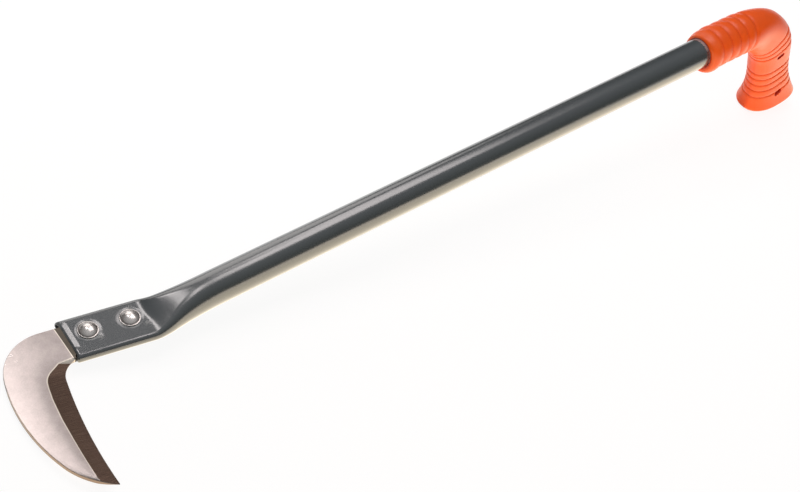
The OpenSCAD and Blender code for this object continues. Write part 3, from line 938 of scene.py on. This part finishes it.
@dataclass
class HookBlade:
    """The hooked blade: tang, heel, bevel and tip, ruled from its back to its edge (mm)."""

    socket: Socket
    thick: float = 4.0
    tang_len: float = 50.0
    neck_back: float = 11.8
    neck_front: float = 13.76
    neck_border: float = 13.4
    heel_gap: float = 1.5
    throat_r: float = 15.0
    throat: tuple[float, float] = (-1.3, 31.0)
    reach: float = 52.2
    corner_r: float = 33.5
    spine_r: float = 121.0
    belly_q: float = 35.5
    sweep_q: float = 91.0
    sweep_r: float = 52.5
    tip_s: float = 11.0
    edge_lean: float = 3.5
    edge_hollow: float = 2.7
    edge_t: float = 0.4
    side_drop: float = 0.3
    tip_taper: float = 11.0
    crown_ease: float = 14.0
    crown: float = 0.24
    chamfer: float = 0.32
    # Strength of the painted highlight along the bevel's border
    painted_glint: float = 0.55

    def back_path(self) -> Path:
        """Returns the back: straight neck, corner arc, long spine arc and the sweep to the tip."""
        spine_c = (self.reach - self.spine_r, self.belly_q)
        corner_q = self.corner_r - self.neck_back
        rise = self.belly_q - corner_q
        corner_c = (spine_c[0] + math.sqrt((self.spine_r - self.corner_r) ** 2 - rise**2), corner_q)
        corner_turn = math.degrees(math.atan2(-rise, corner_c[0] - spine_c[0]))
        sweep_turn = math.degrees(math.asin((self.sweep_q - self.belly_q) / self.spine_r))
        sweep_c = arc(spine_c, self.spine_r - self.sweep_r, sweep_turn, sweep_turn, 1)[0]
        tip_turn = math.degrees(math.acos((self.tip_s - sweep_c[0]) / self.sweep_r))
        return Path(np.concatenate([
            [[-self.tang_len, -self.neck_back]],
            arc(corner_c, self.corner_r, -90, corner_turn),
            arc(spine_c, self.spine_r, corner_turn, sweep_turn)[1:],
            arc(sweep_c, self.sweep_r, sweep_turn, tip_turn)[1:]]))

    def edge_path(self, tip: np.ndarray) -> Path:
        """Works out the edge side: tang, heel, throat arc and a shallow bow to the tip.

        Args:
            tip: the point where the edge meets the back.

        Returns:
            The edge side as a path.
        """
        heel = -math.degrees(math.acos((self.heel_gap - self.throat[0]) / self.throat_r))
        throat = arc(self.throat, self.throat_r, heel, -self.edge_lean)
        way = tip - throat[-1]
        u = np.linspace(0, 1, 60)[1:, None]
        across = np.array([way[1], -way[0]]) / np.linalg.norm(way)
        bow = throat[-1] + way * u + across * self.edge_hollow * 4 * u * (1 - u)
        neck = np.array([[-self.tang_len, self.neck_front], [self.heel_gap, self.neck_front]])
        return Path(np.concatenate([neck, throat, bow]))

    def rows(self) -> Rulings:
        """Matches points of the edge, of the bevel's border and of the back row by row.

        Returns:
            The matched points, with the first row of the runout and of the bevel, and which rows
            lie where the bevel has met the back.
        """
        back = self.back_path()
        tip = back.points[-1]
        edge = self.edge_path(tip)
        tang, heel = -self.tang_len, self.heel_gap
        front, low, rear = self.neck_front, self.neck_border, -self.neck_back
        # Edge point, border point and back point of each ruling
        ruling = np.array([
            [tang, front, tang, low, tang, rear], [heel, front, 1.2, low, 0.5, rear],
            [heel, 16.26, 2.4, 15.5, 5, rear], [2.6, 16.5, 4.8, 15.1, 9, -11.5],
            [6.2, 18.0, 14.0, 16.2, 30, -6.5], [8.6, 19.9, 17.5, 18.8, 38, -1],
            [10.8, 22.2, 21.9, 21.7, 43, 8], [12.3, 25, 24.6, 24.9, 47, 16],
            [13.1, 27.5, 25.8, 27.9, 49.5, 22], [13.7, 31.5, 26.5, 32.1, 51, 29],
            [14.4, 41.9, 27.3, 41.9, 52, 42], [15, 59, 27.2, 58.5, 50, 60],
            [14.5, 77, 25.9, 76.2, 45, 78], [13.8, 88.5, 24.9, 87.9, 39, 90],
            [12.6, 102, 23.3, 102.3, 29.5, 104], [12.2, 106.5, 22.3, 108.7, 23.0, 109.6],
            [*tip, *tip, *tip]])
        counts = np.array([10, 3, 3, 8, 6, 6, 6, 6, 6, 12, 16, 16, 12, 14, 8, 14])
        steps = [k + np.arange(n) / n for k, n in enumerate(counts)]
        where = np.concatenate(steps + [[len(counts) - 0.04]])
        knots = np.arange(len(ruling))
        run = np.interp(where, knots, edge.nearest(ruling[:, :2]))
        behind = back.at(np.interp(where, knots, back.nearest(ruling[:, 4:])))
        border = np.stack([np.interp(where, knots, ruling[:, k]) for k in (2, 3)], -1)
        # The border's corners past the runout are eased with a short moving mean
        first = counts[:4].sum()
        for _ in range(3):
            middle = border[first:-2] + 2 * border[first + 1:-1] + border[first + 2:]
            border[first + 1:-1] = middle / 4
        meets = where > len(ruling) - 2
        border[meets] = behind[meets]
        side = self.thick / 2 - self.side_drop
        land = self.edge_t / 2
        half = np.interp(where, [0, 2, 3, 4, knots[-1]], [side, side, 1.5, land, land])
        return Rulings(edge.at(run), border, behind, half, run, counts[:3].sum(), first, meets)

    @property
    def flats(self) -> np.ndarray:
        """Shares of the flat's width at which its points lie."""
        return np.concatenate([[0], np.linspace(0.02, 0.97, 22), [0.99, 1.0]])

    @property
    def slope(self) -> np.ndarray:
        """Shares of the bevel's width at which its points lie."""
        return np.concatenate([[0.03, 0.1], np.linspace(0.25, 1, 7)])

    def section(self, rows: Rulings) -> tuple[np.ndarray, np.ndarray]:
        """Works out the shown half of each row: side wall, chamfer, crowned flat, bevel and edge
        land. The flat falls with the square of the distance from its middle; the bevel falls
        straight from the border to the edge.

        Args:
            rows: the matched points.

        Returns:
            The place and the height of each point of each row.
        """
        met = rows.meets[:, None]
        width = np.linalg.norm(rows.back - rows.edge, axis=1)
        apart = np.linalg.norm(rows.border - rows.back, axis=1)
        face = self.thick / 2
        rise = np.clip(width / self.tip_taper, 0, 1)
        top = np.where(rows.meets, rows.half + (face - rows.half) * rise, face)
        cut = np.minimum(self.chamfer, top * 0.4)
        toward = np.where(met, (rows.edge - rows.back) / np.maximum(width, 1e-6)[:, None],
                          (rows.border - rows.back) / np.maximum(apart, 1e-6)[:, None])
        start = rows.back + toward * np.minimum(cut, 0.3 * width)[:, None]
        finish = np.where(met, start, rows.border)
        flat = start[:, None] + (finish - start)[:, None] * self.flats[None, :, None]
        fall = np.where(met, 1, (2 * self.flats[None] - 1) ** 2)
        level = top[:, None] - self.crown * smooth(rows.back[:, :1] / self.crown_ease) * fall
        low = level[:, -1:]
        bevel = finish[:, None] + (rows.edge - finish)[:, None] * self.slope[None, :, None]
        line = np.concatenate([rows.back[:, None], flat, bevel], 1)
        height = np.concatenate([level[:, :1] - cut[:, None], level,
                                 low + (rows.half[:, None] - low) * self.slope[None]], 1)
        return line, height

    def shell(self) -> Shell:
        """Closes each row with the same section on the far side.

        Returns:
            The closed shell, with the bevel, its runout and the cut wall in slots of their own.
        """
        rows = self.rows()
        line, height = self.section(rows)
        ring = np.concatenate([line, line[:, ::-1]], 1)
        s, q = ring[..., 0], ring[..., 1]
        rings = self.socket.from_mouth(s, q, np.concatenate([height, -height[:, ::-1]], 1))
        points, quads, tris = capped(rings, rings[[0, -1]].mean(1))
        count, around = s.shape
        border, land = len(self.flats), len(self.slope)
        mirror = around - 1 - border
        column = np.arange(around)
        col, row = np.tile(column, count - 1), np.repeat(np.arange(count - 1), around)
        grind = ((col >= border) & (col < border + land)) | ((col >= mirror - land) & (col < mirror))
        slots = np.where(grind & (row >= rows.bevel), Face.BEVEL, Face.FLAT)
        slots = np.where(grind & (row >= rows.heel) & (row < rows.bevel), Face.RUNOUT, slots)
        slots = np.where((col == around - 1) & (row >= 1), Face.CUT_WALL, slots)
        across = np.concatenate([np.linspace(0, 1, around // 2), np.linspace(1, 0, around // 2)])
        uv = np.stack(np.broadcast_arrays(rows.run[:, None] / 10, across[None]), -1)
        ground = (np.arange(count) >= rows.heel)[:, None]
        # Painted highlight: the columns on either side of the bevel's border are painted bright
        lit = np.isin(column, [border - 1, border, mirror, mirror + 1])[None] & ground
        crisp = (np.isin(column, [border, mirror])[None] & ground).astype(float)
        crisp[rows.bevel, border:border + land + 1] = 1
        share = np.concatenate([[0], self.flats, np.ones(land)])
        share = np.concatenate([share, share[::-1]])[None]
        # Painted sheen: lighter away from the socket, darker towards the bevel's side and towards the tip
        painted_sheen = (0.35 + 0.65 * smooth((s - 4) / 34)) * (1 - 0.75 * smooth((share - 0.55) / 0.4))
        painted_sheen = painted_sheen * (1 - 0.15 * smooth((q - 70) / 30))
        masks = {"painted_glint": self.painted_glint * lit, "out": s, "hookward": q,
                 "back": bump(s, 40, 13) * bump(q, 2, 15), "painted_sheen": painted_sheen}
        return Shell(points, quads, tris, uv=np.concatenate([uv.reshape(-1, 2), np.zeros((2, 2))]),
                     masks={key: poled(values) for key, values in masks.items()},
                     slots=np.concatenate([slots, np.full(len(tris), Face.FLAT)]),
                     crisp=poled(crisp), crease=24)

    def dress(self, fx: Effects) -> bpy.types.Object:
        """Returns the finished blade."""
        finishes = [BladeSteel().material(fx), GroundBevel().material(fx), HeelGrind().material(fx),
                    # Painted shade: the cut wall is coloured a darker brown than the ground steel of the
                    # runout
                    HeelGrind("shaded_cut_wall", (0.20, 0.150, 0.125, 1)).material(fx)]
        piece = self.shell().build("Hook_Blade", finishes)
        return settle(piece, Slot.BLADE, "blade")


@dataclass
class Rivet:
    """A rivet: two domed heads with thin flanges on one shank, turned about its axis (mm)."""

    socket: Socket
    number: int
    head_d: float = 12.4
    head_h: float = 3.0
    head_flat: float = 0.035
    flange_d: float = 14.4
    flange_h: float = 0.5
    sink: float = 0.3
    shank_d: float = 6.0
    around: int = 64

    def profile(self) -> np.ndarray:
        """Outline of one head from its pole to the shank: a cap of a sphere with a set flat on top,
        a rounded flange and the shank.

        Returns:
            Radius and height above the socket's flat, point by point.
        """
        rise = self.head_h - self.flange_h
        r = self.head_d / 2
        ball = (r * r + rise * rise) / (2 * rise)
        a = np.linspace(0.12, math.asin(r / ball), 22)
        dome = np.stack([ball * np.sin(a), self.head_h - ball + ball * np.cos(a)], -1)
        dome[:, 1] = np.minimum(dome[:, 1], self.head_h - self.head_flat)
        a = np.linspace(0, math.pi, 7)
        w = self.flange_h / 2
        flange = np.stack([self.flange_d / 2 - w + w * np.sin(a), w + w * np.cos(a)], -1)
        shank = self.shank_d / 2
        under = np.array([[shank + 0.6, 0.0], [shank, -0.3], [shank, -self.socket.thick / 4]])
        return np.concatenate([dome, flange, under]) - [0, self.sink]

    def dress(self, material: bpy.types.Material, node: str) -> bpy.types.Object:
        """Turns the profile about the rivet's axis on both faces.

        Args:
            material: the plating.
            node: the solid that the rivet stands for.

        Returns:
            The finished rivet.
        """
        sock, one = self.socket, self.profile()
        line = np.concatenate([one, one[::-1] * [1, -1] - [0, sock.thick]])
        line[:, 1] += sock.thick / 2
        t = turns(self.around, 0.0)
        s = -sock.rivet_inset - self.number * sock.rivet_pitch + line[:, :1] * np.cos(t)
        q = -sock.rivet_offset + line[:, :1] * np.sin(t)
        rings = sock.from_mouth(s, q, np.broadcast_to(line[:, 1:], s.shape))
        poles = sock.from_mouth(np.full(2, s.mean()), np.full(2, q.mean()), line[[0, -1], 1])
        foot = smooth((line[:, 0] - 5.4) / 0.9) * smooth((7.05 - line[:, 0]) / 0.25)
        masks = {"foot": poled(np.repeat(foot, self.around))}
        name = "Front_Rivet" if self.number == 0 else "Rear_Rivet"
        piece = Shell(*capped(rings, poles), masks=masks, crease=50).build(name, [material])
        return settle(piece, Slot.RIVET, node)


@dataclass
class PistolGrip:
    """The moulded grip: a banded sleeve on the tube, an elbow and a flared leg (mm)."""

    tube: ShaftTube
    gap: float = 0.1
    collar_r: float = 18.6
    sleeve_r: float = 17.8
    sleeve_len: float = 44.0
    sleeve_bands: int = 5
    first_band: float = 12.2
    band_shrink: float = 0.93
    band_reach: tuple[float, float] = (5.6, 4.6)
    band_power: float = 2.3
    band_depth: float = 1.15
    collar_round: float = 4.9
    collar_len: float = 7.0
    collar_lean: float = 0.12
    top_start: float = 3.0
    top_ease: float = 2.5
    top_reach: float = 17.0
    under_ease: float = 0.9
    under_reach: float = 13.0
    leg_rake: float = 21.0
    elbow_r: float = 72.5
    leg_len: float = 70.0
    ring_turn: float = 75.0
    foot_turn: float = 84.0
    elbow_a: float = 20.5
    elbow_b: float = 14.4
    neck_a: float = 20.7
    neck_b: float = 13.5
    neck_place: float = 0.3
    foot_a: float = 29.9
    foot_b: float = 18.6
    flare_power: float = 2.2
    foot_round: float = 4.0
    front_square: float = 2.3
    rear_square: float = 2.9
    fan_cuts: tuple[float, ...] = (104.0, 112.5, 121.0)
    leg_cuts: int = 5
    leg_first: float = 15.3
    leg_pitch: float = 8.5
    line_reach: tuple[float, float] = (4.2, 2.4)
    line_power: float = 2.4
    line_depth: float = 0.8
    slot_len: float = 8.2
    slot_w: float = 3.6
    slot_low: float = 18.8
    slot_pitch: float = 55.3
    slot_shift: float = 1.2
    slot_lip: float = 0.7
    around: int = 112
    edge_rows: int = 12
    body_rows: int = 380
    slot_around: int = 56
    form_crease: float = 50.0
    crease: float = 45.0

    @property
    def turn(self) -> float:
        """Angle of the elbow in degrees."""
        return 90 - self.leg_rake

    @property
    def elbow_end(self) -> float:
        """Length along the middle line at which the elbow ends."""
        return self.sleeve_len + self.elbow_r * math.radians(self.turn)

    @property
    def neck(self) -> float:
        """Length along the middle line at which the leg is thinnest."""
        return self.elbow_end + self.neck_place * self.leg_len

    @property
    def end(self) -> float:
        """Length along the middle line at the base of the foot."""
        return self.elbow_end + self.leg_len

    def place(self, p: np.ndarray) -> np.ndarray:
        """Returns the middle line: straight sleeve, arc of the elbow, straight leg."""
        a = np.clip((p - self.sleeve_len) / self.elbow_r, 0, math.radians(self.turn))
        before, after = np.minimum(p, self.sleeve_len), np.maximum(0, p - self.elbow_end)
        x = self.tube.bare_len + before + self.elbow_r * np.sin(a) + after * np.cos(a)
        return np.stack([x, 0 * a, -self.elbow_r * (1 - np.cos(a)) - after * np.sin(a)], -1)

    @staticmethod
    def between(p: np.ndarray, stations: list[tuple[float, float]]) -> np.ndarray:
        """Returns the value at p, eased with a smooth step between the stations."""
        at = np.array(stations)
        k = np.clip(np.searchsorted(at[:, 0], p, side="right") - 1, 0, len(at) - 2)
        t = smooth((p - at[k, 0]) / (at[k + 1, 0] - at[k, 0]))
        return at[k, 1] + (at[k + 1, 1] - at[k, 1]) * t

    def flare(self, p: np.ndarray) -> np.ndarray:
        """Returns the share of the foot's flare: a power of the way from neck to foot."""
        foot = self.end - self.foot_round
        return np.clip((p - self.neck) / (foot - self.neck), 0, 1) ** self.flare_power

    def cuts(self) -> tuple[np.ndarray, np.ndarray]:
        """Returns the places of the sleeve's grooves and those of the fan and the leg."""
        k = np.arange(1, self.sleeve_bands + 1)
        sleeve = self.first_band * (1 - self.band_shrink**k) / (1 - self.band_shrink)
        leg = self.elbow_end + self.leg_first + self.leg_pitch * np.arange(self.leg_cuts)
        return sleeve, np.concatenate([self.fan_cuts, leg])

    @staticmethod
    def near(p: np.ndarray, lines: np.ndarray, reach: tuple[float, float], power: float) -> np.ndarray:
        """Returns 1 on a groove's line, falling with a power to 0 at its reach before and after."""
        gap = p[:, None] - lines[None]
        return np.clip(1 - np.abs(gap) / np.where(gap < 0, *reach), 0, 1) ** power

    def relief(self, p: np.ndarray) -> tuple[np.ndarray, np.ndarray]:
        """Depth of the grooves: wide and round on the sleeve, and narrow with a steeper lower side
        on the elbow and leg.

        Args:
            p: lengths along the middle line.

        Returns:
            The depth below the plain form, and how deep in a groove each place is, from 0 to 1.
        """
        sleeve, lines = self.cuts()
        wide = self.near(p, sleeve, self.band_reach, self.band_power)
        thin = self.near(p, lines, self.line_reach, self.line_power)
        depth = (self.band_depth * wide).max(1) + (self.line_depth * thin).max(1)
        return depth, np.maximum((wide**3).max(1) * 0.5, (thin**3).max(1))

    def ring(self, p: np.ndarray, less: np.ndarray) -> np.ndarray:
        """Rings of the grip: superellipses about the middle line, rounder in front than behind, in
        planes that turn with the elbow.

        Args:
            p: lengths along the middle line.
            less: how far each ring is drawn in.

        Returns:
            Rows of points in the tool's frame.
        """
        sleeve = [(0, self.collar_r), (2 * self.first_band, self.sleeve_r), (self.sleeve_len, self.sleeve_r)]
        mid = (self.sleeve_len + self.elbow_end) / 2
        flare = self.flare(p)

        def reach(elbow: float, neck: float, foot: float) -> np.ndarray:
            """Returns each ring's half axis from those of the elbow, the neck and the foot."""
            plain = self.between(p, sleeve + [(mid, elbow), (self.neck, neck)])
            return (plain + (foot - neck) * flare)[:, None] - less

        def power(square: float) -> np.ndarray:
            """Returns 2 divided by each ring's exponent, which goes from 2 to square along the elbow."""
            return 2 / self.between(p, [(0, 2), (self.sleeve_len, 2), (self.elbow_end, square),
                                        (self.end + 1, square)])[:, None]

        a = reach(self.elbow_a, self.neck_a, self.foot_a)
        b = reach(self.elbow_b, self.neck_b, self.foot_b)
        elbow = np.clip(np.degrees((p - self.sleeve_len) / self.elbow_r), 0, self.turn)
        tilt = elbow * self.ring_turn / self.turn + (self.foot_turn - self.ring_turn) * flare
        tilt = np.radians(tilt)[:, None]
        c, s = np.cos(turns(self.around))[None], np.sin(turns(self.around))[None]
        bend = np.where(c > 0, power(self.rear_square), power(self.front_square))
        u = a * np.sign(c) * np.abs(c) ** bend
        v = b * np.sign(s) * np.abs(s) ** bend
        return self.place(p)[:, None] + np.stack([u * np.sin(tilt), v, u * np.cos(tilt)], -1)

    def shell(self) -> Shell:
        """Works out the grip as one line of rows: bore, collar, sleeve, elbow, leg, foot and base.

        Returns:
            The closed shell with its masks.
        """
        tube = self.tube
        foot = self.end - self.foot_round
        a = np.linspace(0, math.pi / 2, self.edge_rows)
        p = np.concatenate([self.collar_len * (1 - np.cos(a))[:-1],
                            np.linspace(self.collar_len, foot, self.body_rows)[:-1],
                            self.end - self.foot_round * (1 - np.sin(a))])
        head = 1 - np.sqrt(np.maximum(0, 1 - (1 - p / self.collar_len) ** 2))
        head = np.where(p < self.collar_len, self.collar_round * head, 0)
        heel = self.foot_round - np.sqrt(np.maximum(0, self.foot_round**2 - (p - foot) ** 2))
        depth, mark = self.relief(p)
        less = depth + np.where(p > foot, heel, 0)
        # The collar is rounder on the side between +Y and +Z than on the other
        t = turns(self.around)
        above = (np.sin(t) + np.cos(t))[None] / math.sqrt(2)
        start = np.clip(p / self.top_start, 0, 1)
        top = self.top_ease * smooth((self.top_reach - p) / self.top_reach) * start
        under = self.under_ease * smooth((self.under_reach - p) / self.under_reach)
        early = np.where(above > 0, top[:, None], under[:, None])
        body = self.ring(p, less[:, None] + head[:, None] * (1 + self.collar_lean * above) + early * above)
        r = tube.tube_d / 2 + self.gap
        steps = np.array([[tube.grip_depth, r], [tube.grip_depth - 0.01, r], [20, r], [0.5, r],
                          [0.15, r + 0.15], [0, r + 0.5]])
        bore = np.stack(np.broadcast_arrays(tube.bare_len + steps[:, :1], steps[:, 1:] * np.sin(t),
                                            steps[:, 1:] * np.cos(t)), -1)
        middle = self.place(np.array([self.end]))[0]
        shrink = np.array([0.93, 0.75, 0.5, 0.25])
        base = middle + (body[-1][None] - middle) * shrink[:, None, None]
        rings = np.concatenate([bore, body, base])
        rub = np.clip((p - foot + 3) / 4, 0, 1) * 0.8 + 0.25 * (p < 9)

        def spread(values: np.ndarray, bored: float, based: float) -> np.ndarray:
            """Returns a mask of all points from the body's values and those of bore and base."""
            rows = np.concatenate([np.full(len(bore), bored), values, np.full(len(base), based)])
            return poled(np.repeat(rows, self.around), bored, based)

        # The groove mask is painted shade: deeper in the grooves and full down the bore
        masks = {"groove": spread(0.75 * mark, 1.0, 0.0), "rubbed": spread(rub, 0.0, 0.5)}
        poles = np.array([[tube.bare_len + tube.grip_depth, 0, 0], middle])
        return Shell(*capped(rings, poles), crease=self.form_crease, masks=masks)

    def slot_cutter(self, p: float) -> Shell:
        """Bar through the leg with the slot's outline, which opens like a trumpet at both sides.

        Args:
            p: length along the middle line at which it crosses.

        Returns:
            The bar as a closed shell.
        """
        at = np.array([p])
        stations = [(0, 18), (self.elbow_end * 0.66, self.elbow_b), (self.elbow_end + 21, self.neck_b)]
        y = float((self.between(at, stations) + (self.foot_b - self.neck_b) * self.flare(at))[0])
        lip = self.slot_lip
        near = np.array([y + 3, y, y - 0.1, y - 0.3, y - 0.55, y - lip])
        grow = np.array([lip + 2.4, lip, 0.45, 0.2, 0.05, 0.0])
        level = np.concatenate([near, -near[::-1]])[:, None]
        r = self.slot_w / 2 + np.concatenate([grow, grow[::-1]])[:, None]
        t = turns(self.slot_around)
        u = self.slot_shift + np.sign(np.cos(t)) * (self.slot_len - self.slot_w) / 2 + r * np.cos(t)
        v = r * np.sin(t)
        c, s = math.cos(math.radians(self.leg_rake)), math.sin(math.radians(self.leg_rake))
        rings = self.place(at)[0] + np.stack(np.broadcast_arrays(u * c + v * s, level, u * s - v * c), -1)
        points, quads, tris = capped(rings, rings[[0, -1]].mean(1))
        # The slot's walls take the groove mask in full: painted shade inside the slots
        return Shell(points, quads, tris,
                     masks={"groove": np.ones(len(points)), "rubbed": np.zeros(len(points))})

    def dress(self, fx: Effects) -> bpy.types.Object:
        """Returns the moulded grip with its two slots cut through."""
        plastic = OrangePlastic().material(fx)
        whole = self.shell().build("grip_form", [plastic])
        for k in (0, 1):
            bar = self.slot_cutter(self.end - self.slot_low - k * self.slot_pitch)
            cut = whole.modifiers.new(f"slot_{k}", "BOOLEAN")
            cut.operation, cut.solver = "DIFFERENCE", "EXACT"
            cut.object = bar.build(f"slot_form_{k}", [plastic])
        shaped = whole.evaluated_get(bpy.context.evaluated_depsgraph_get())
        mesh = bpy.data.meshes.new_from_object(shaped)
        mesh.name = "Pistol_Grip"
        mesh.polygons.foreach_set("use_smooth", np.ones(len(mesh.polygons), bool))
        mesh.set_sharp_from_angle(angle=math.radians(self.crease))
        for form in [m.object for m in whole.modifiers] + [whole]:
            bpy.data.objects.remove(form)
        return settle(show("Pistol_Grip", mesh), Slot.GRIP, "grip")


# Studio


class Lay(Enum):
    """What a lamp's place is given in: the tool's own frame or the frame of the floor."""

    TOOL = "tool"
    FLOOR = "floor"


@dataclass(frozen=True)
class Softbox:
    """A rectangular lamp that faces a point (mm)."""

    name: str
    centre: tuple[float, float, float]
    target: tuple[float, float, float]
    size: tuple[float, float]
    glow: float
    tint: tuple[float, float, float] = (1.0, 1.0, 1.0)
    lay: Lay = Lay.TOOL

    def hang(self) -> bpy.types.Object:
        """Makes the lamp. Its power is its glow times its area times pi.

        Returns:
            The lamp's object.
        """
        place, goal = np.array(self.centre, float), np.array(self.target, float)
        if self.lay is Lay.TOOL:
            place, goal = REST.place(place), REST.place(goal)
        else:
            place, goal = place / 1000, goal / 1000
        lamp = bpy.data.lights.new(self.name, "AREA")
        lamp.shape, lamp.size, lamp.size_y = "RECTANGLE", self.size[0] / 1000, self.size[1] / 1000
        lamp.energy = self.glow * lamp.size * lamp.size_y * math.pi
        lamp.color = self.tint
        box = show(self.name, lamp)
        behind = (place - goal) / np.linalg.norm(place - goal)
        side = np.cross(REST.aim((0, 1, 0)), behind)
        side /= np.linalg.norm(side)
        box.matrix_world = pose(side, np.cross(behind, side), place)
        box.visible_camera = False
        return box


@dataclass
class Studio:
    """Pale floor, soft surroundings and softboxes."""

    boxes: tuple[Softbox, ...] = (
        Softbox("blade_box", (130, 600, 1000), (-40, 0, 0), (180, 340), 5.6, (1.0, 0.94, 0.93)),
        Softbox("crook_box", (335, 160, 1000), (335, 160, 0), (120, 380), 5.2, (1.0, 0.93, 0.92)),
        Softbox("press_box", (565, 160, 1000), (565, 160, 0), (110, 400), 4.4, (1.0, 0.93, 0.92)),
        Softbox("tube_box", (810, 415, 1000), (810, 415, 0), (380, 900), 3.2, (1.0, 0.93, 0.92)),
        Softbox("back_box", (620, 1200, 560), (184, -37, 0), (900, 760), 1.4, (1.0, 0.95, 0.93)),
        Softbox("front_fill", (100, -1300, 180), (100, 0, 60), (2200, 320), 1.95, (1.0, 0.86, 0.70),
                Lay.FLOOR),
        Softbox("glow_panel", (0, -380, 2), (0, -380, 500), (1300, 820), 1.08, (1.0, 0.77, 0.42), Lay.FLOOR),
    )
    floor_tone: Colour = (0.86, 0.83, 0.80, 1)
    floor_half: float = 6.0
    floor_white: float = 1.12
    floor_share: float = 0.80
    horizon: Colour = (0.12, 0.11, 0.105, 1)
    low_sky: Colour = (0.17, 0.162, 0.158, 1)
    overhead: Colour = (0.44, 0.44, 0.445, 1)

    def world(self) -> None:
        """Surroundings: dim at the horizon and brighter overhead, white where the camera looks."""
        world = bpy.data.worlds.new("studio")
        bpy.context.scene.world = world
        g = emptied(world)
        way = g.add("ShaderNodeTexCoord").outputs["Generated"]
        height = g.add("ShaderNodeSeparateXYZ", {0: way}).outputs["Z"]
        tone = g.add("ShaderNodeValToRGB", {"Fac": height})
        ramp = tone.color_ramp
        ramp.elements[0].position, ramp.elements[0].color = 0.0, self.horizon
        ramp.elements[1].position, ramp.elements[1].color = 1.0, self.overhead
        ramp.elements.new(0.45).color = self.low_sky
        soft = g.add("ShaderNodeBackground", {"Color": tone.outputs["Color"], "Strength": 1.0})
        white = g.add("ShaderNodeBackground", {"Color": (1, 1, 1, 1), "Strength": 1.0})
        camera = g.add("ShaderNodeLightPath").outputs["Is Camera Ray"]
        mix = g.add("ShaderNodeMixShader", {0: camera, 1: soft.outputs[0], 2: white.outputs[0]})
        g.add("ShaderNodeOutputWorld", {"Surface": mix.outputs[0]})

    def floor(self) -> bpy.types.Object:
        """Floor: a pale matt sheet that the camera sees mostly white, with the tool's shadow."""
        far = self.floor_half
        mesh = bpy.data.meshes.new("floor")
        mesh.from_pydata([(-far, -far, 0), (far, -far, 0), (far, far, 0), (-far, far, 0)], [], [(0, 1, 2, 3)])
        mat = bpy.data.materials.new("floor")
        g = emptied(mat)
        matt = g.add("ShaderNodeBsdfDiffuse", {"Color": self.floor_tone})
        white = g.add("ShaderNodeEmission", {"Color": (1, 1, 1, 1), "Strength": self.floor_white})
        path = g.add("ShaderNodeLightPath").outputs
        clear = g.math("MAXIMUM", path["Is Glossy Ray"], path["Is Transmission Ray"])
        share = g.times(g.math("MAXIMUM", path["Is Camera Ray"], clear), self.floor_share)
        mix = g.add("ShaderNodeMixShader", {0: share, 1: matt.outputs[0], 2: white.outputs[0]})
        g.add("ShaderNodeOutputMaterial", {"Surface": mix.outputs[0]})
        mesh.materials.append(mat)
        sheet = show("floor", mesh)
        return sheet

    def set_up(self) -> None:
        """Sets the colour handling, the surroundings, the floor and the lamps."""
        scene = bpy.context.scene
        scene.view_settings.view_transform = "Standard"
        self.world()
        self.floor()
        for box in self.boxes:
            box.hang()
            log.info("lamp %s", box.name)


@dataclass(frozen=True)
class Viewpoint:
    """The camera, placed in the tool's frame (mm); the lens in pixels for an image 800 wide."""

    centre: tuple[float, float, float] = (-439.817, -573.252, 900.451)
    right: tuple[float, float, float] = (0.767598, -0.619838, 0.163077)
    down: tuple[float, float, float] = (-0.385906, -0.650110, -0.654548)
    lens_px: float = 1700.0
    width_px: float = 800.0
    sensor: float = 36.0

    def set_up(self) -> bpy.types.Object:
        """Makes the camera: its X is the picture's right, its Y up, its -Z ahead.

        Returns:
            The scene's camera.
        """
        lens = bpy.data.cameras.new("camera")
        lens.sensor_fit, lens.sensor_width = "HORIZONTAL", self.sensor
        lens.lens = self.lens_px / self.width_px * self.sensor
        lens.clip_start, lens.clip_end = 0.05, 50
        camera = show("camera", lens)
        place = REST.place(np.array(self.centre))
        camera.matrix_world = pose(REST.aim(self.right), -REST.aim(self.down), place)
        bpy.context.scene.camera = camera
        return camera


def main() -> None:
    """Builds the tool piece by piece, then the studio round it."""
    logging.basicConfig(level=logging.INFO, format="%(name)s: %(message)s")
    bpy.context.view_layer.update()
    Viewpoint().set_up()
    fx = Effects()
    socket = Socket()
    tube = ShaftTube(socket)
    tube.dress(fx)
    HookBlade(socket).dress(fx)
    plating = PlatedRivet().material(fx)
    for number, node in enumerate(("front_rivet", "rear_rivet")):
        Rivet(socket, number).dress(plating, node)
    PistolGrip(tube).dress(fx)
    Studio().set_up()
    bpy.context.view_layer.update()


if __name__ == "__main__":
    main()
